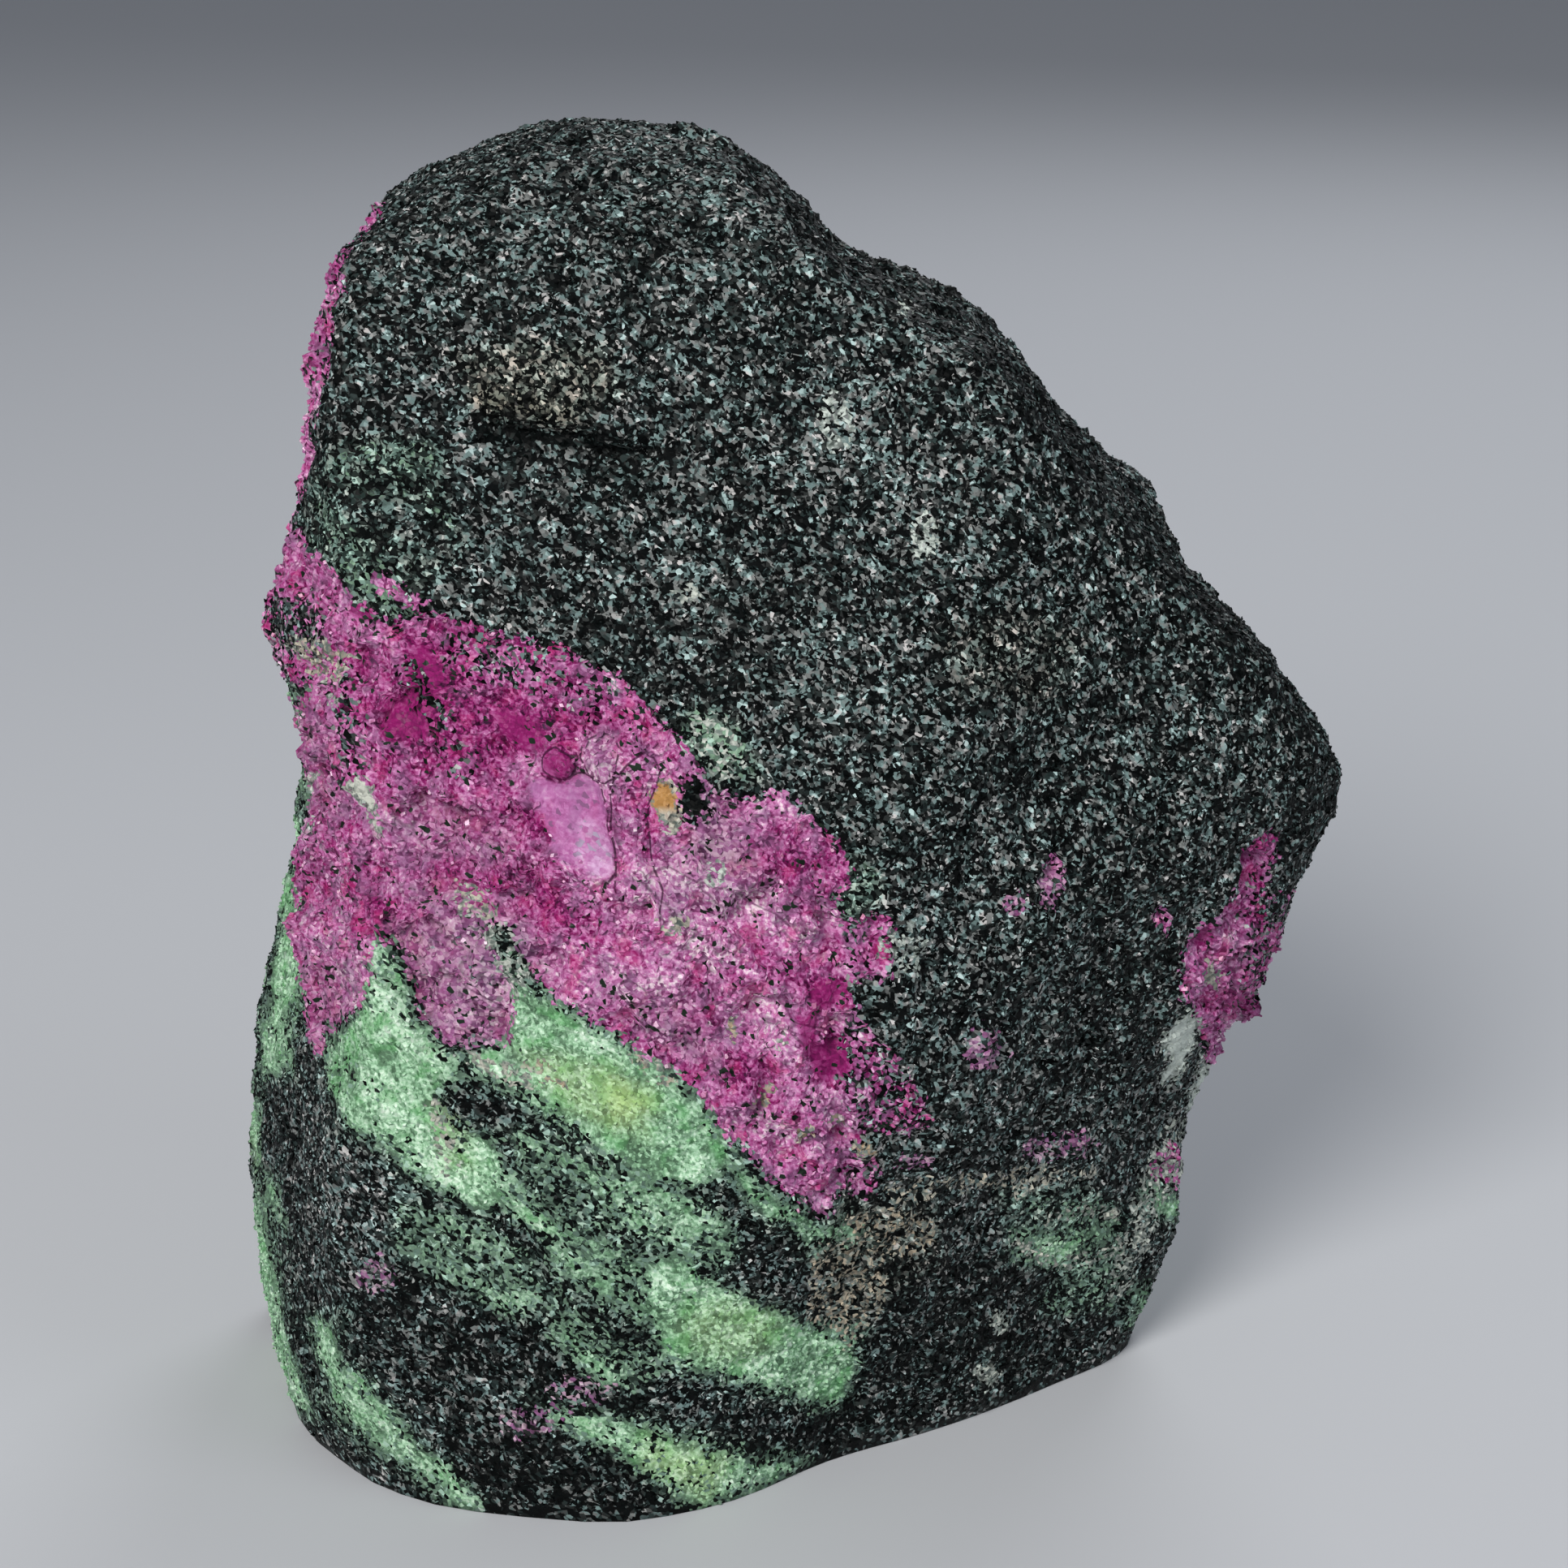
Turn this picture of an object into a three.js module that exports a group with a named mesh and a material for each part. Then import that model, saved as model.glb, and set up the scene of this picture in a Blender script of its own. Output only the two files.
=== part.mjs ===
// Ruby in zoisite: one lump of rough rock that stands on its own broken foot. A skin of black amphibole,
// a lens of ruby and banded green zoisite have grown together, so the whole lump is one solid.
//
// Millimetres, +Z up, standing on z = 0. The show side, where the ruby is bared, looks towards -Y, and +X is on
// its right. A face's azimuth is 0 where it looks towards -Y, 90 towards +X and 180 towards +Y.
import * as THREE from "three";
import { mergeVertices } from "three/addons/utils/BufferGeometryUtils.js";

const HEIGHT = 100;
const WIDTH = 85;
const DEPTH = 55;

// The lump is drawn as seen from its heart: in every direction the skin is one distance away.
const HEART = new THREE.Vector3(0, 1, HEIGHT / 2);
// How crisply two broken faces meet. The rock is rubbed a little round, so their edge loses about
// this share of its distance from the heart: 1 - 2 ** (-1 / EDGE_CRISPNESS).
const EDGE_CRISPNESS = 40;
// Each of an icosahedron's 20 faces is split into this many rows of triangles.
const TRIANGLE_ROWS = 20;
// The foot's rim is found by halving an edge this many times.
const RIM_STEPS = 12;

// The broken faces: where each looks, and a point that it passes through.
const BROKEN_FACES = [
  // The show side, from the crest down to the foot.
  { name: "upper front", azimuth: 4, elevation: 17, through: [-6, -20, 74] },
  { name: "middle front", azimuth: 8, elevation: 4, through: [2, -25.5, 52] },
  { name: "right front", azimuth: 30, elevation: 10, through: [20, -17, 58] },
  { name: "ruby face", azimuth: -12, elevation: -1, through: [-14, -27, 42] },
  { name: "left front foot", azimuth: -10, elevation: -6, through: [-18, -25.4, 8] },
  { name: "right front foot", azimuth: 36, elevation: -13, through: [13, -12.4, 6] },
  { name: "front corner", azimuth: 16, elevation: -9, through: [-4, -23.6, 6] },
  // The left side, seen along its length from the front.
  { name: "left chamfer", azimuth: -66, elevation: 3, through: [-38, -11, 28] },
  { name: "left foot chamfer", azimuth: -40, elevation: -14, through: [-33.4, -18.6, 3] },
  { name: "left side", azimuth: -94, elevation: 9, through: [-41.8, 4, 27] },
  { name: "left lower side", azimuth: -86, elevation: 1, through: [-43.4, 0, 15] },
  { name: "left upper side", azimuth: -88, elevation: 13, through: [-35.6, 0, 77] },
  { name: "left shoulder", azimuth: -86, elevation: 25, through: [-33.6, 0, 90] },
  { name: "left foot", azimuth: -78, elevation: -30, through: [-44.8, 0, 4] },
  // The crest.
  { name: "left crest", azimuth: -90, elevation: 60, through: [-25.2, 0, 96.4] },
  { name: "crest", azimuth: -80, elevation: 86, through: [-12, 1, HEIGHT - 0.6] },
  { name: "crest front", azimuth: 0, elevation: 48, through: [-12, -9, 97] },
  { name: "crest back", azimuth: 172, elevation: 50, through: [-12, 12, 95.4] },
  { name: "right crest", azimuth: 90, elevation: 53, through: [6, 0, 90.6] },
  // The right side.
  { name: "right slope", azimuth: 90, elevation: 40.5, through: [29, 0, 68.2] },
  { name: "right nose", azimuth: 88, elevation: 22, through: [43.8, 0, 54.6] },
  { name: "right undercut", azimuth: 80, elevation: -10, through: [43.2, 0, 44] },
  { name: "right chamfer", azimuth: 58, elevation: -15, through: [30.4, 3, 3] },
  { name: "right foot", azimuth: 88, elevation: -18, through: [29.6, 4, 4] },
  // The far side, broken in four big steps.
  { name: "upper back", azimuth: 188, elevation: 20, through: [-8, 20, 74] },
  { name: "right back", azimuth: 146, elevation: 8, through: [26.4, 17, 46] },
  { name: "middle back", azimuth: 176, elevation: -3, through: [2, 27, 38] },
  { name: "left back", azimuth: 214, elevation: 3, through: [-27, 19, 40] },
  { name: "back foot", azimuth: 172, elevation: -24, through: [4, 25.5, 10] },
  { name: "right back foot", azimuth: 132, elevation: -18, through: [23.4, 16, 8] },
];

// Soft swellings, and hollows where the height is negative. Each fades out over its reach along X, Y and Z.
const SWELLINGS = [
  { name: "dip in the right crest", at: [5.5, 6, 91], reach: [6.5, 22, 7], height: -2.6 },
  { name: "right shoulder", at: [17, -4, 84], reach: [8, 14, 6], height: 0.5 },
  { name: "brow", at: [-12, -20, 80], reach: [13, 12, 7], height: 1.3 },
  { name: "ruby shoulder", at: [-37, -12, 66], reach: [7, 12, 8], height: 1.8 },
  { name: "hollow under the ruby shoulder", at: [-37, -4, 46], reach: [9, 18, 11], height: -2.2 },
  { name: "right waist", at: [34, 0, 20], reach: [9, 16, 9], height: -1.7 },
  { name: "swell of the ruby", at: [-6, -26, 44], reach: [16, 10, 13], height: 0.9 },
  { name: "hollow between the feet", at: [2, -18, 4], reach: [6, 9, 14], height: -3 },
  { name: "scoop in the back", at: [8, 27, 56], reach: [15, 10, 13], height: -2.6 },
  { name: "knob on the back", at: [-18, 24, 30], reach: [9, 8, 9], height: 1.8 },
];

// Ledges, where the rock below the line has flaked away. The drop is sharp at the line and heals further down.
const LEDGES = [
  { name: "brow ledge", at: [-15, -20, 81.6], dips: 10, halfLength: 9, drop: 1.7, heals: 7 },
  { name: "ruby ledge", at: [-37, -9, 62.4], dips: 12, halfLength: 13, drop: 2.4, heals: 10 },
  { name: "nose ledge", at: [38, -3, 33], dips: -30, halfLength: 8, drop: 1.2, heals: 8 },
  { name: "back ledge", at: [8, 26, 66], dips: -20, halfLength: 19, drop: 2.6, heals: 16 },
  { name: "low back ledge", at: [-14, 27, 24], dips: 26, halfLength: 16, drop: 2.2, heals: 10 },
];
const LEDGE_SHARPNESS = 1.8;
const LEDGE_DEPTH = 9;

// Chips: shallow scallops with ridges between them, deeper on the far side than on the show side.
const CHIP_SPACING = 15;
const CHIP_DEPTH = { front: 0.8, back: 1.9 };

// The unevenness that the broken faces have, coarse to fine.
const UNEVENNESS = [
  { wavelength: 21, height: 0.9 },
  { wavelength: 8.5, height: 0.5 },
  { wavelength: 4.5, height: 0.28 },
];

const STONE = { color: 0x3b4443, roughness: 0.62, metalness: 0 };

function looking(azimuth, elevation) {
  const a = THREE.MathUtils.degToRad(azimuth);
  const e = THREE.MathUtils.degToRad(elevation);
  return new THREE.Vector3(Math.sin(a) * Math.cos(e), -Math.cos(a) * Math.cos(e), Math.sin(e));
}

const faces = BROKEN_FACES.map(({ azimuth, elevation, through }) => {
  const normal = looking(azimuth, elevation);
  const distance = new THREE.Vector3(...through).sub(HEART).dot(normal);
  return { normal, distance };
});

// The distance from the heart to where the broken faces close the lump.
function reachOf(direction) {
  let sum = 0;
  for (const { normal, distance } of faces) {
    const nearness = normal.dot(direction) / distance;
    if (nearness > 0) sum += nearness ** EDGE_CRISPNESS;
  }
  return sum ** (-1 / EDGE_CRISPNESS);
}

// A number from -1 to 1 that is fixed for each corner of a grid of unit cells.
function cornerValue(i, j, k) {
  const mixed = Math.sin(i * 127.1 + j * 311.7 + k * 74.7) * 43758.5453;
  return 2 * (mixed - Math.floor(mixed)) - 1;
}

// Smooth noise from -1 to 1, eased between the corners of the cell that holds the point.
function noise(x, y, z) {
  const [i, j, k] = [x, y, z].map(Math.floor);
  const [u, v, w] = [x - i, y - j, z - k].map((t) => t * t * (3 - 2 * t));
  const { lerp } = THREE.MathUtils;
  const alongX = (dj, dk) => lerp(cornerValue(i, j + dj, k + dk), cornerValue(i + 1, j + dj, k + dk), u);
  const alongY = (dk) => lerp(alongX(0, dk), alongX(1, dk), v);
  return lerp(alongY(0), alongY(1), w);
}

function swellingAt(point) {
  let height = 0;
  for (const s of SWELLINGS) {
    const away = point.clone().sub(new THREE.Vector3(...s.at)).divide(new THREE.Vector3(...s.reach));
    height += s.height * Math.exp(-away.lengthSq());
  }
  return height;
}

// A ledge runs level around the lump at its own height, dips to the right by so many degrees, and lies where
// the point is near its middle.
function ledgeAt(point) {
  let height = 0;
  for (const l of LEDGES) {
    const middle = new THREE.Vector3(...l.at);
    const outward = middle.clone().sub(HEART).setZ(0).normalize();
    const along = new THREE.Vector3(-outward.y, outward.x, 0);
    const away = point.clone().sub(middle);
    const sideways = away.dot(along);
    const inward = away.dot(outward);
    const below = -away.z - sideways * Math.tan(THREE.MathUtils.degToRad(l.dips));
    const edge = 1 / (1 + Math.exp(-LEDGE_SHARPNESS * below));
    const healed = Math.exp(-Math.max(0, below) / l.heals);
    const nearby = Math.exp(-((sideways / l.halfLength) ** 2) - (inward / LEDGE_DEPTH) ** 2);
    height -= l.drop * edge * healed * nearby;
  }
  return height;
}

// How far the point is from the nearest of the chips' middles, one of which lies somewhere in every cell of a grid.
function distanceToChip(x, y, z) {
  const [i, j, k] = [x, y, z].map(Math.floor);
  let nearest = Infinity;
  for (let di = -1; di <= 1; di++) {
    for (let dj = -1; dj <= 1; dj++) {
      for (let dk = -1; dk <= 1; dk++) {
        const [a, b, c] = [i + di, j + dj, k + dk];
        const middle = [a + 0.5, b + 0.5, c + 0.5];
        const shift = [cornerValue(a, b, c), cornerValue(b + 57, c, a), cornerValue(c, a + 113, b)];
        const [u, v, w] = middle.map((m, axis) => m + 0.4 * shift[axis]);
        nearest = Math.min(nearest, Math.hypot(x - u, y - v, z - w));
      }
    }
  }
  return nearest;
}

function chipAt(point) {
  const { x, y, z } = point.clone().divideScalar(CHIP_SPACING);
  const farSide = THREE.MathUtils.smoothstep(point.y, -DEPTH / 4, DEPTH / 4);
  const depth = THREE.MathUtils.lerp(CHIP_DEPTH.front, CHIP_DEPTH.back, farSide);
  return depth * (2 * distanceToChip(x, y, z) ** 2 - 0.5);
}

function unevennessAt(point) {
  let height = 0;
  for (const { wavelength, height: most } of UNEVENNESS) {
    const { x, y, z } = point.clone().divideScalar(wavelength);
    height += most * noise(x, y, z);
  }
  return height;
}

// A ball of even triangles, drawn out to the lump's own proportions so that they stay even on its skin.
function evenBall() {
  const ball = new THREE.IcosahedronGeometry(1, TRIANGLE_ROWS - 1);
  ball.deleteAttribute("normal");
  ball.deleteAttribute("uv");
  return mergeVertices(ball).scale(WIDTH / 2, DEPTH / 2, HEIGHT / 2);
}

// The skin above ground, as if the rock went on below it.
function skinAt(direction) {
  const reach = reachOf(direction);
  const onFaces = direction.clone().multiplyScalar(reach).add(HEART);
  const relief = swellingAt(onFaces) + ledgeAt(onFaces) + chipAt(onFaces) + unevennessAt(onFaces);
  return direction.clone().multiplyScalar(reach + relief).add(HEART);
}

// Where the direction leaves the lump: through its skin, or through the flat foot that the lump stands on.
function surfaceAt(direction) {
  const skin = skinAt(direction);
  if (skin.z > 0) return skin;
  const onGround = direction.clone().multiplyScalar(HEART.z / -direction.z).add(HEART);
  return onGround.setZ(0);
}

// How far along from one direction to another the foot's rim lies, found by halving.
function rimBetween(above, below) {
  let [low, high] = [0, 1];
  for (let step = 0; step < RIM_STEPS; step++) {
    const middle = (low + high) / 2;
    if (skinAt(above.clone().lerp(below, middle).normalize()).z > 0) low = middle;
    else high = middle;
  }
  return (low + high) / 2;
}

// Along every edge of the ball that crosses the foot's rim, the nearer end is moved onto the rim, so that the rim is
// a clean line of edges.
function alignWithRim(directions, index) {
  const isAbove = directions.map((direction) => skinAt(direction).z > 0);
  const moves = new Map();
  for (let i = 0; i < index.count; i++) {
    const next = i % 3 === 2 ? i - 2 : i + 1;
    const [from, to] = [index.getX(i), index.getX(next)];
    if (!isAbove[from] || isAbove[to]) continue;
    const share = rimBetween(directions[from], directions[to]);
    const [mover, moved] = share < 0.5 ? [from, share] : [to, 1 - share];
    if (moves.has(mover) && moves.get(mover).moved <= moved) continue;
    const onRim = directions[from].clone().lerp(directions[to], share).normalize();
    moves.set(mover, { moved, onRim });
  }
  for (const [mover, { onRim }] of moves) directions[mover].copy(onRim);
  return new Set(moves.keys());
}

function lumpGeometry() {
  const geometry = evenBall();
  const position = geometry.getAttribute("position");
  const directions = [];
  for (let i = 0; i < position.count; i++) {
    directions.push(new THREE.Vector3().fromBufferAttribute(position, i).normalize());
  }
  const rim = alignWithRim(directions, geometry.index);
  directions.forEach((direction, i) => {
    const { x, y, z } = surfaceAt(direction);
    position.setXYZ(i, x, y, rim.has(i) ? 0 : z);
  });
  geometry.computeBoundingBox();
  const middle = geometry.boundingBox.getCenter(new THREE.Vector3());
  geometry.translate(-middle.x, -middle.y, 0);
  geometry.computeVertexNormals();
  return geometry;
}

const stone = new THREE.Mesh(lumpGeometry(), new THREE.MeshStandardMaterial(STONE));
stone.name = "stone";

const specimen = new THREE.Group();
specimen.add(stone);

export default specimen;
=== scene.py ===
"""A rough lump of ruby in zoisite: black amphibole, a lens of ruby and banded green zoisite.

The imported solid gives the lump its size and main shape. Here it gets its finely broken skin, the grains and
crystals that stick out of it, its minerals' finishes, and a plain studio to be looked at in.
"""

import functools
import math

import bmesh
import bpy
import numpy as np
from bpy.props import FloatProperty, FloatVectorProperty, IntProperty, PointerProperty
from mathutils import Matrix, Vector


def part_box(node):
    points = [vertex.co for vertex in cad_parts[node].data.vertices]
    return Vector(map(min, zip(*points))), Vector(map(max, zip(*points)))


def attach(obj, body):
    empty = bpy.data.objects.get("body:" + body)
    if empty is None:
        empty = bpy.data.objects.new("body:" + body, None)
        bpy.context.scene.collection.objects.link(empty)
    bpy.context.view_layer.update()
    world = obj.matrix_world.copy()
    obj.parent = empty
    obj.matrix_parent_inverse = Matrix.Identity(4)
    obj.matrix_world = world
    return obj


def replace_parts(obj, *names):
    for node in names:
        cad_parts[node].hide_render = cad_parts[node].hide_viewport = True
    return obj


bl_info = {
    "name": "Ruby in Zoisite",
    "version": (1, 0, 0),
    "blender": (4, 5, 0),
    "location": "View3D > Sidebar > Stone",
    "description": "Dresses a rough lump of ruby in zoisite: its broken skin, grains, crystals and a studio",
    "category": "Object",
}

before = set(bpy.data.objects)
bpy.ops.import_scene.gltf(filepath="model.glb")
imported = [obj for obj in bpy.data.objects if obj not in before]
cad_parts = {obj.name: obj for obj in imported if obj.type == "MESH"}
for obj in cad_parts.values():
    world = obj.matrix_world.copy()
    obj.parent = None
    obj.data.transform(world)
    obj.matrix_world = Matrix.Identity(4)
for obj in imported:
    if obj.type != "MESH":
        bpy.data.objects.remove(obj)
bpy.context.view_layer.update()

MM = 0.001
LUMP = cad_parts["stone"]
LOW = np.array(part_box("stone")[0]) / MM

# The photograph's frame and how its camera stood: where it was, how far it looked down and its focal length.
PHOTO_SIDE = 1932
CAMERA_AT = np.array([0.0, -230.0, 124.2])
CAMERA_TILT = math.radians(18)
LENS = 72
SENSOR = 36
# One pixel of the photograph on the stone's front, and how far the rock's layers dip to the right there.
PIXEL = 0.059
LAYER_DIP = math.radians(34)


# Shapes on the front of the stone, in pixels of the photograph. Each gives how far inside it a pixel is.


def outline(*corners):
    """A closed shape with straight sides."""
    ring = np.array(corners, float)

    def inside(pixels):
        nearest = np.full(len(pixels), np.inf)
        within = np.zeros(len(pixels), bool)
        for start, end in zip(ring, np.roll(ring, -1, axis=0)):
            nearest = np.minimum(nearest, to_segment(pixels, start, end))
            rises = (start[1] > pixels[:, 1]) != (end[1] > pixels[:, 1])
            run = (pixels[:, 1] - start[1]) / ((end[1] - start[1]) or 1) * (end[0] - start[0])
            within ^= rises & (pixels[:, 0] < start[0] + run)
        return np.where(within, nearest, -nearest)

    return inside


def stroke(width, *points):
    """A line of this width through the points."""
    path = np.array(points, float)

    def inside(pixels):
        away = [to_segment(pixels, start, end) for start, end in zip(path, path[1:])]
        return width / 2 - np.min(away, axis=0)

    return inside


def spot(x, y, half_width, half_height):
    """An oval."""
    middle = np.array([x, y], float)
    half = np.array([half_width, half_height], float)

    def inside(pixels):
        return (1 - np.linalg.norm((pixels - middle) / half, axis=1)) * half.min()

    return inside


def to_segment(pixels, start, end):
    """How far pixels are from the straight line between two points."""
    along = end - start
    share = np.clip((pixels - start) @ along / (along @ along), 0, 1)
    return np.linalg.norm(pixels - start - share[:, None] * along, axis=1)


# Where each mineral shows on the front, with its share of the grains there.
FRONT_RUBY = [
    # The lens, from the left shoulder down to its tip.
    (1.0, outline(
        (300, 640), (352, 628), (372, 665), (400, 690), (430, 735), (455, 752), (485, 773), (520, 760),
        (540, 757), (585, 775), (630, 785), (690, 800), (760, 835), (815, 885), (845, 920), (862, 955),
        (900, 975), (930, 985), (950, 968), (985, 995), (1045, 1055), (1055, 1075), (1026, 1106),
        (1045, 1140), (1050, 1235), (1046, 1300), (1062, 1380), (1058, 1440), (1030, 1480), (1020, 1496),
        (1000, 1490), (950, 1450), (900, 1405), (860, 1350), (820, 1310), (790, 1300), (755, 1270),
        (700, 1240), (650, 1190), (625, 1140), (590, 1150), (480, 1165), (455, 1140), (372, 1150),
        (362, 1060), (366, 900), (372, 848), (345, 815), (310, 800),
    )),
    (0.95, outline(
        (470, 1140), (590, 1140), (625, 1200), (636, 1250), (625, 1290), (560, 1287), (530, 1270),
        (510, 1240), (498, 1190),
    )),
    (1.0, outline(
        (368, 1130), (462, 1130), (458, 1210), (440, 1240), (400, 1275), (385, 1300), (376, 1250),
        (370, 1190),
    )),
    (0.9, outline((455, 702), (475, 703), (500, 720), (534, 754), (500, 748), (460, 722))),
    (0.9, outline((1072, 1126), (1102, 1135), (1096, 1205), (1050, 1210), (1045, 1150))),
    (0.52, outline((1040, 1215), (1080, 1285), (1122, 1330), (1142, 1385), (1106, 1402), (1050, 1385))),
    (0.7, spot(1064, 1450, 20, 24)),
    # The thin rim up the left side.
    (0.8, stroke(
        26, (345, 640), (366, 590), (376, 500), (390, 420), (403, 370), (418, 320), (432, 285), (462, 262),
    )),
    # The patch on the right.
    (0.97, outline(
        (1560, 1022), (1578, 1034), (1572, 1065), (1552, 1106), (1625, 1098), (1612, 1140), (1582, 1175),
        (1572, 1205), (1562, 1245), (1545, 1270), (1500, 1312), (1486, 1308), (1478, 1262), (1458, 1232),
        (1453, 1185), (1475, 1145), (1512, 1125), (1527, 1095), (1548, 1050),
    )),
    (0.85, spot(1292, 1088, 13, 26)),
    (0.5, spot(1250, 1112, 12, 12)),
    (0.8, spot(1433, 1133, 9, 14)),
    (0.5, spot(1214, 1290, 22, 22)),
    (0.45, spot(1280, 1415, 16, 14)),
    (0.45, spot(1320, 1408, 22, 12)),
    (0.65, spot(1126, 1431, 16, 10)),
    (0.34, spot(715, 1716, 38, 17)),
    (0.32, spot(650, 1755, 32, 16)),
    (0.32, spot(460, 1572, 20, 18)),
    (0.75, stroke(14, (1440, 1415), (1432, 1450))),
]

FRONT_GREEN = [
    (1.0, outline(
        (455, 1150), (475, 1165), (500, 1200), (510, 1250), (545, 1292), (562, 1308), (552, 1345),
        (545, 1375), (575, 1395), (605, 1402), (620, 1435), (620, 1470), (600, 1500), (545, 1470),
        (500, 1440), (460, 1410), (420, 1395), (405, 1350), (392, 1300), (420, 1265), (450, 1232),
    )),
    (1.0, outline(
        (628, 1205), (690, 1240), (755, 1280), (830, 1330), (880, 1385), (905, 1410), (905, 1440),
        (860, 1468), (800, 1452), (735, 1420), (690, 1385), (640, 1340), (590, 1325), (548, 1300),
        (620, 1285),
    )),
    (0.85, outline(
        (895, 1425), (950, 1465), (1000, 1500), (1050, 1508), (1062, 1530), (1000, 1533), (920, 1492),
    )),
    (1.0, outline(
        (795, 1552), (840, 1543), (900, 1585), (1000, 1632), (1055, 1648), (1062, 1690), (1030, 1738),
        (960, 1718), (850, 1692), (812, 1672), (790, 1600),
    )),
    (0.9, outline(
        (640, 1718), (700, 1735), (800, 1758), (900, 1788), (1000, 1792), (940, 1835), (860, 1860),
        (815, 1832), (760, 1800), (680, 1757),
    )),
    (0.85, outline(
        (410, 1690), (440, 1690), (500, 1760), (540, 1790), (600, 1838), (575, 1868), (500, 1802),
        (450, 1782), (405, 1722), (394, 1625), (418, 1630),
    )),
    # The strips that the left side's own layers show along the edge.
    (1.0, outline((300, 1150), (375, 1140), (370, 1240), (357, 1318), (300, 1330))),
    (0.8, outline((320, 1040), (366, 1040), (374, 1150), (330, 1160))),
    (0.8, outline((330, 848), (371, 848), (366, 1000), (340, 1000))),
    (0.9, outline(
        (280, 1465), (334, 1462), (342, 1580), (362, 1680), (378, 1740), (330, 1730), (280, 1600),
    )),
    # Where green and black grains are mixed.
    (0.56, outline(
        (640, 1400), (700, 1430), (800, 1462), (880, 1478), (905, 1530), (890, 1570), (840, 1560),
        (790, 1560), (740, 1540), (680, 1520), (620, 1470),
    )),
    (0.5, outline(
        (490, 1490), (560, 1500), (640, 1545), (680, 1600), (620, 1610), (540, 1575), (488, 1530),
    )),
    (0.45, outline((680, 1540), (790, 1580), (800, 1690), (740, 1700), (690, 1640))),
    (0.24, outline(
        (1240, 1478), (1330, 1470), (1372, 1500), (1370, 1605), (1300, 1600), (1330, 1560), (1250, 1545),
    )),
    (0.55, outline((592, 1122), (628, 1140), (662, 1195), (706, 1242), (636, 1222), (604, 1172))),
    (0.0, outline((380, 640), (420, 560), (520, 560), (560, 680), (480, 740), (420, 700))),
    (0.8, outline((1392, 1600), (1410, 1590), (1414, 1612), (1400, 1622))),
    (0.6, stroke(16, (1425, 1475), (1440, 1490))),
    (0.6, stroke(10, (1404, 1595), (1412, 1610))),
    (0.38, outline((434, 716), (470, 722), (508, 752), (500, 775), (455, 745))),
    (0.4, spot(1052, 1092, 26, 28)),
    (0.42, outline((500, 1022), (560, 1030), (556, 1062), (505, 1050))),
    (0.5, outline((960, 1035), (995, 1035), (993, 1060), (962, 1058))),
    (0.1, outline((860, 885), (900, 900), (920, 950), (890, 962), (850, 925))),
]

# Black grains that break into the green and the ruby.
FRONT_BLACK = [
    (1.0, outline((548, 1345), (568, 1330), (600, 1337), (655, 1380), (642, 1397), (575, 1388))),
    (0.85, outline((895, 1512), (1000, 1535), (1000, 1562), (960, 1600), (905, 1572))),
    (0.8, stroke(16, (465, 1190), (472, 1228), (505, 1250), (525, 1285), (556, 1302))),
    (0.9, spot(848, 1608, 9, 11)),
    (1.0, outline((838, 962), (872, 958), (878, 1000), (862, 1014), (838, 1008))),
    (0.35, stroke(24, (510, 830), (545, 890), (572, 940))),
    (0.3, stroke(40, (560, 800), (640, 820), (700, 838), (735, 860))),
    (0.45, stroke(20, (412, 835), (430, 900), (424, 955))),
    (0.75, outline((330, 738), (372, 742), (392, 780), (390, 800), (350, 800), (330, 780))),
    (0.8, outline((1550, 1098), (1592, 1096), (1590, 1140), (1560, 1142))),
    (0.42, outline((1548, 1142), (1600, 1130), (1582, 1175), (1562, 1245), (1536, 1215))),
    (1.0, outline((1442, 1290), (1478, 1285), (1470, 1330), (1450, 1368), (1440, 1350))),
    (0.4, stroke(16, (1052, 1340), (1130, 1402))),
    (0.55, stroke(18, (430, 1320), (470, 1380), (520, 1420))),
    (0.5, spot(640, 1310, 12, 9)),
    (0.9, stroke(10, (322, 1235), (317, 1290), (322, 1330))),
    (0.9, stroke(12, (366, 1238), (358, 1270), (354, 1312))),
    (0.9, spot(467, 1354, 8, 10)),
    (0.8, spot(562, 1410, 10, 7)),
    (0.8, stroke(9, (340, 1470), (352, 1560), (372, 1650), (400, 1740), (450, 1800))),
]

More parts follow.
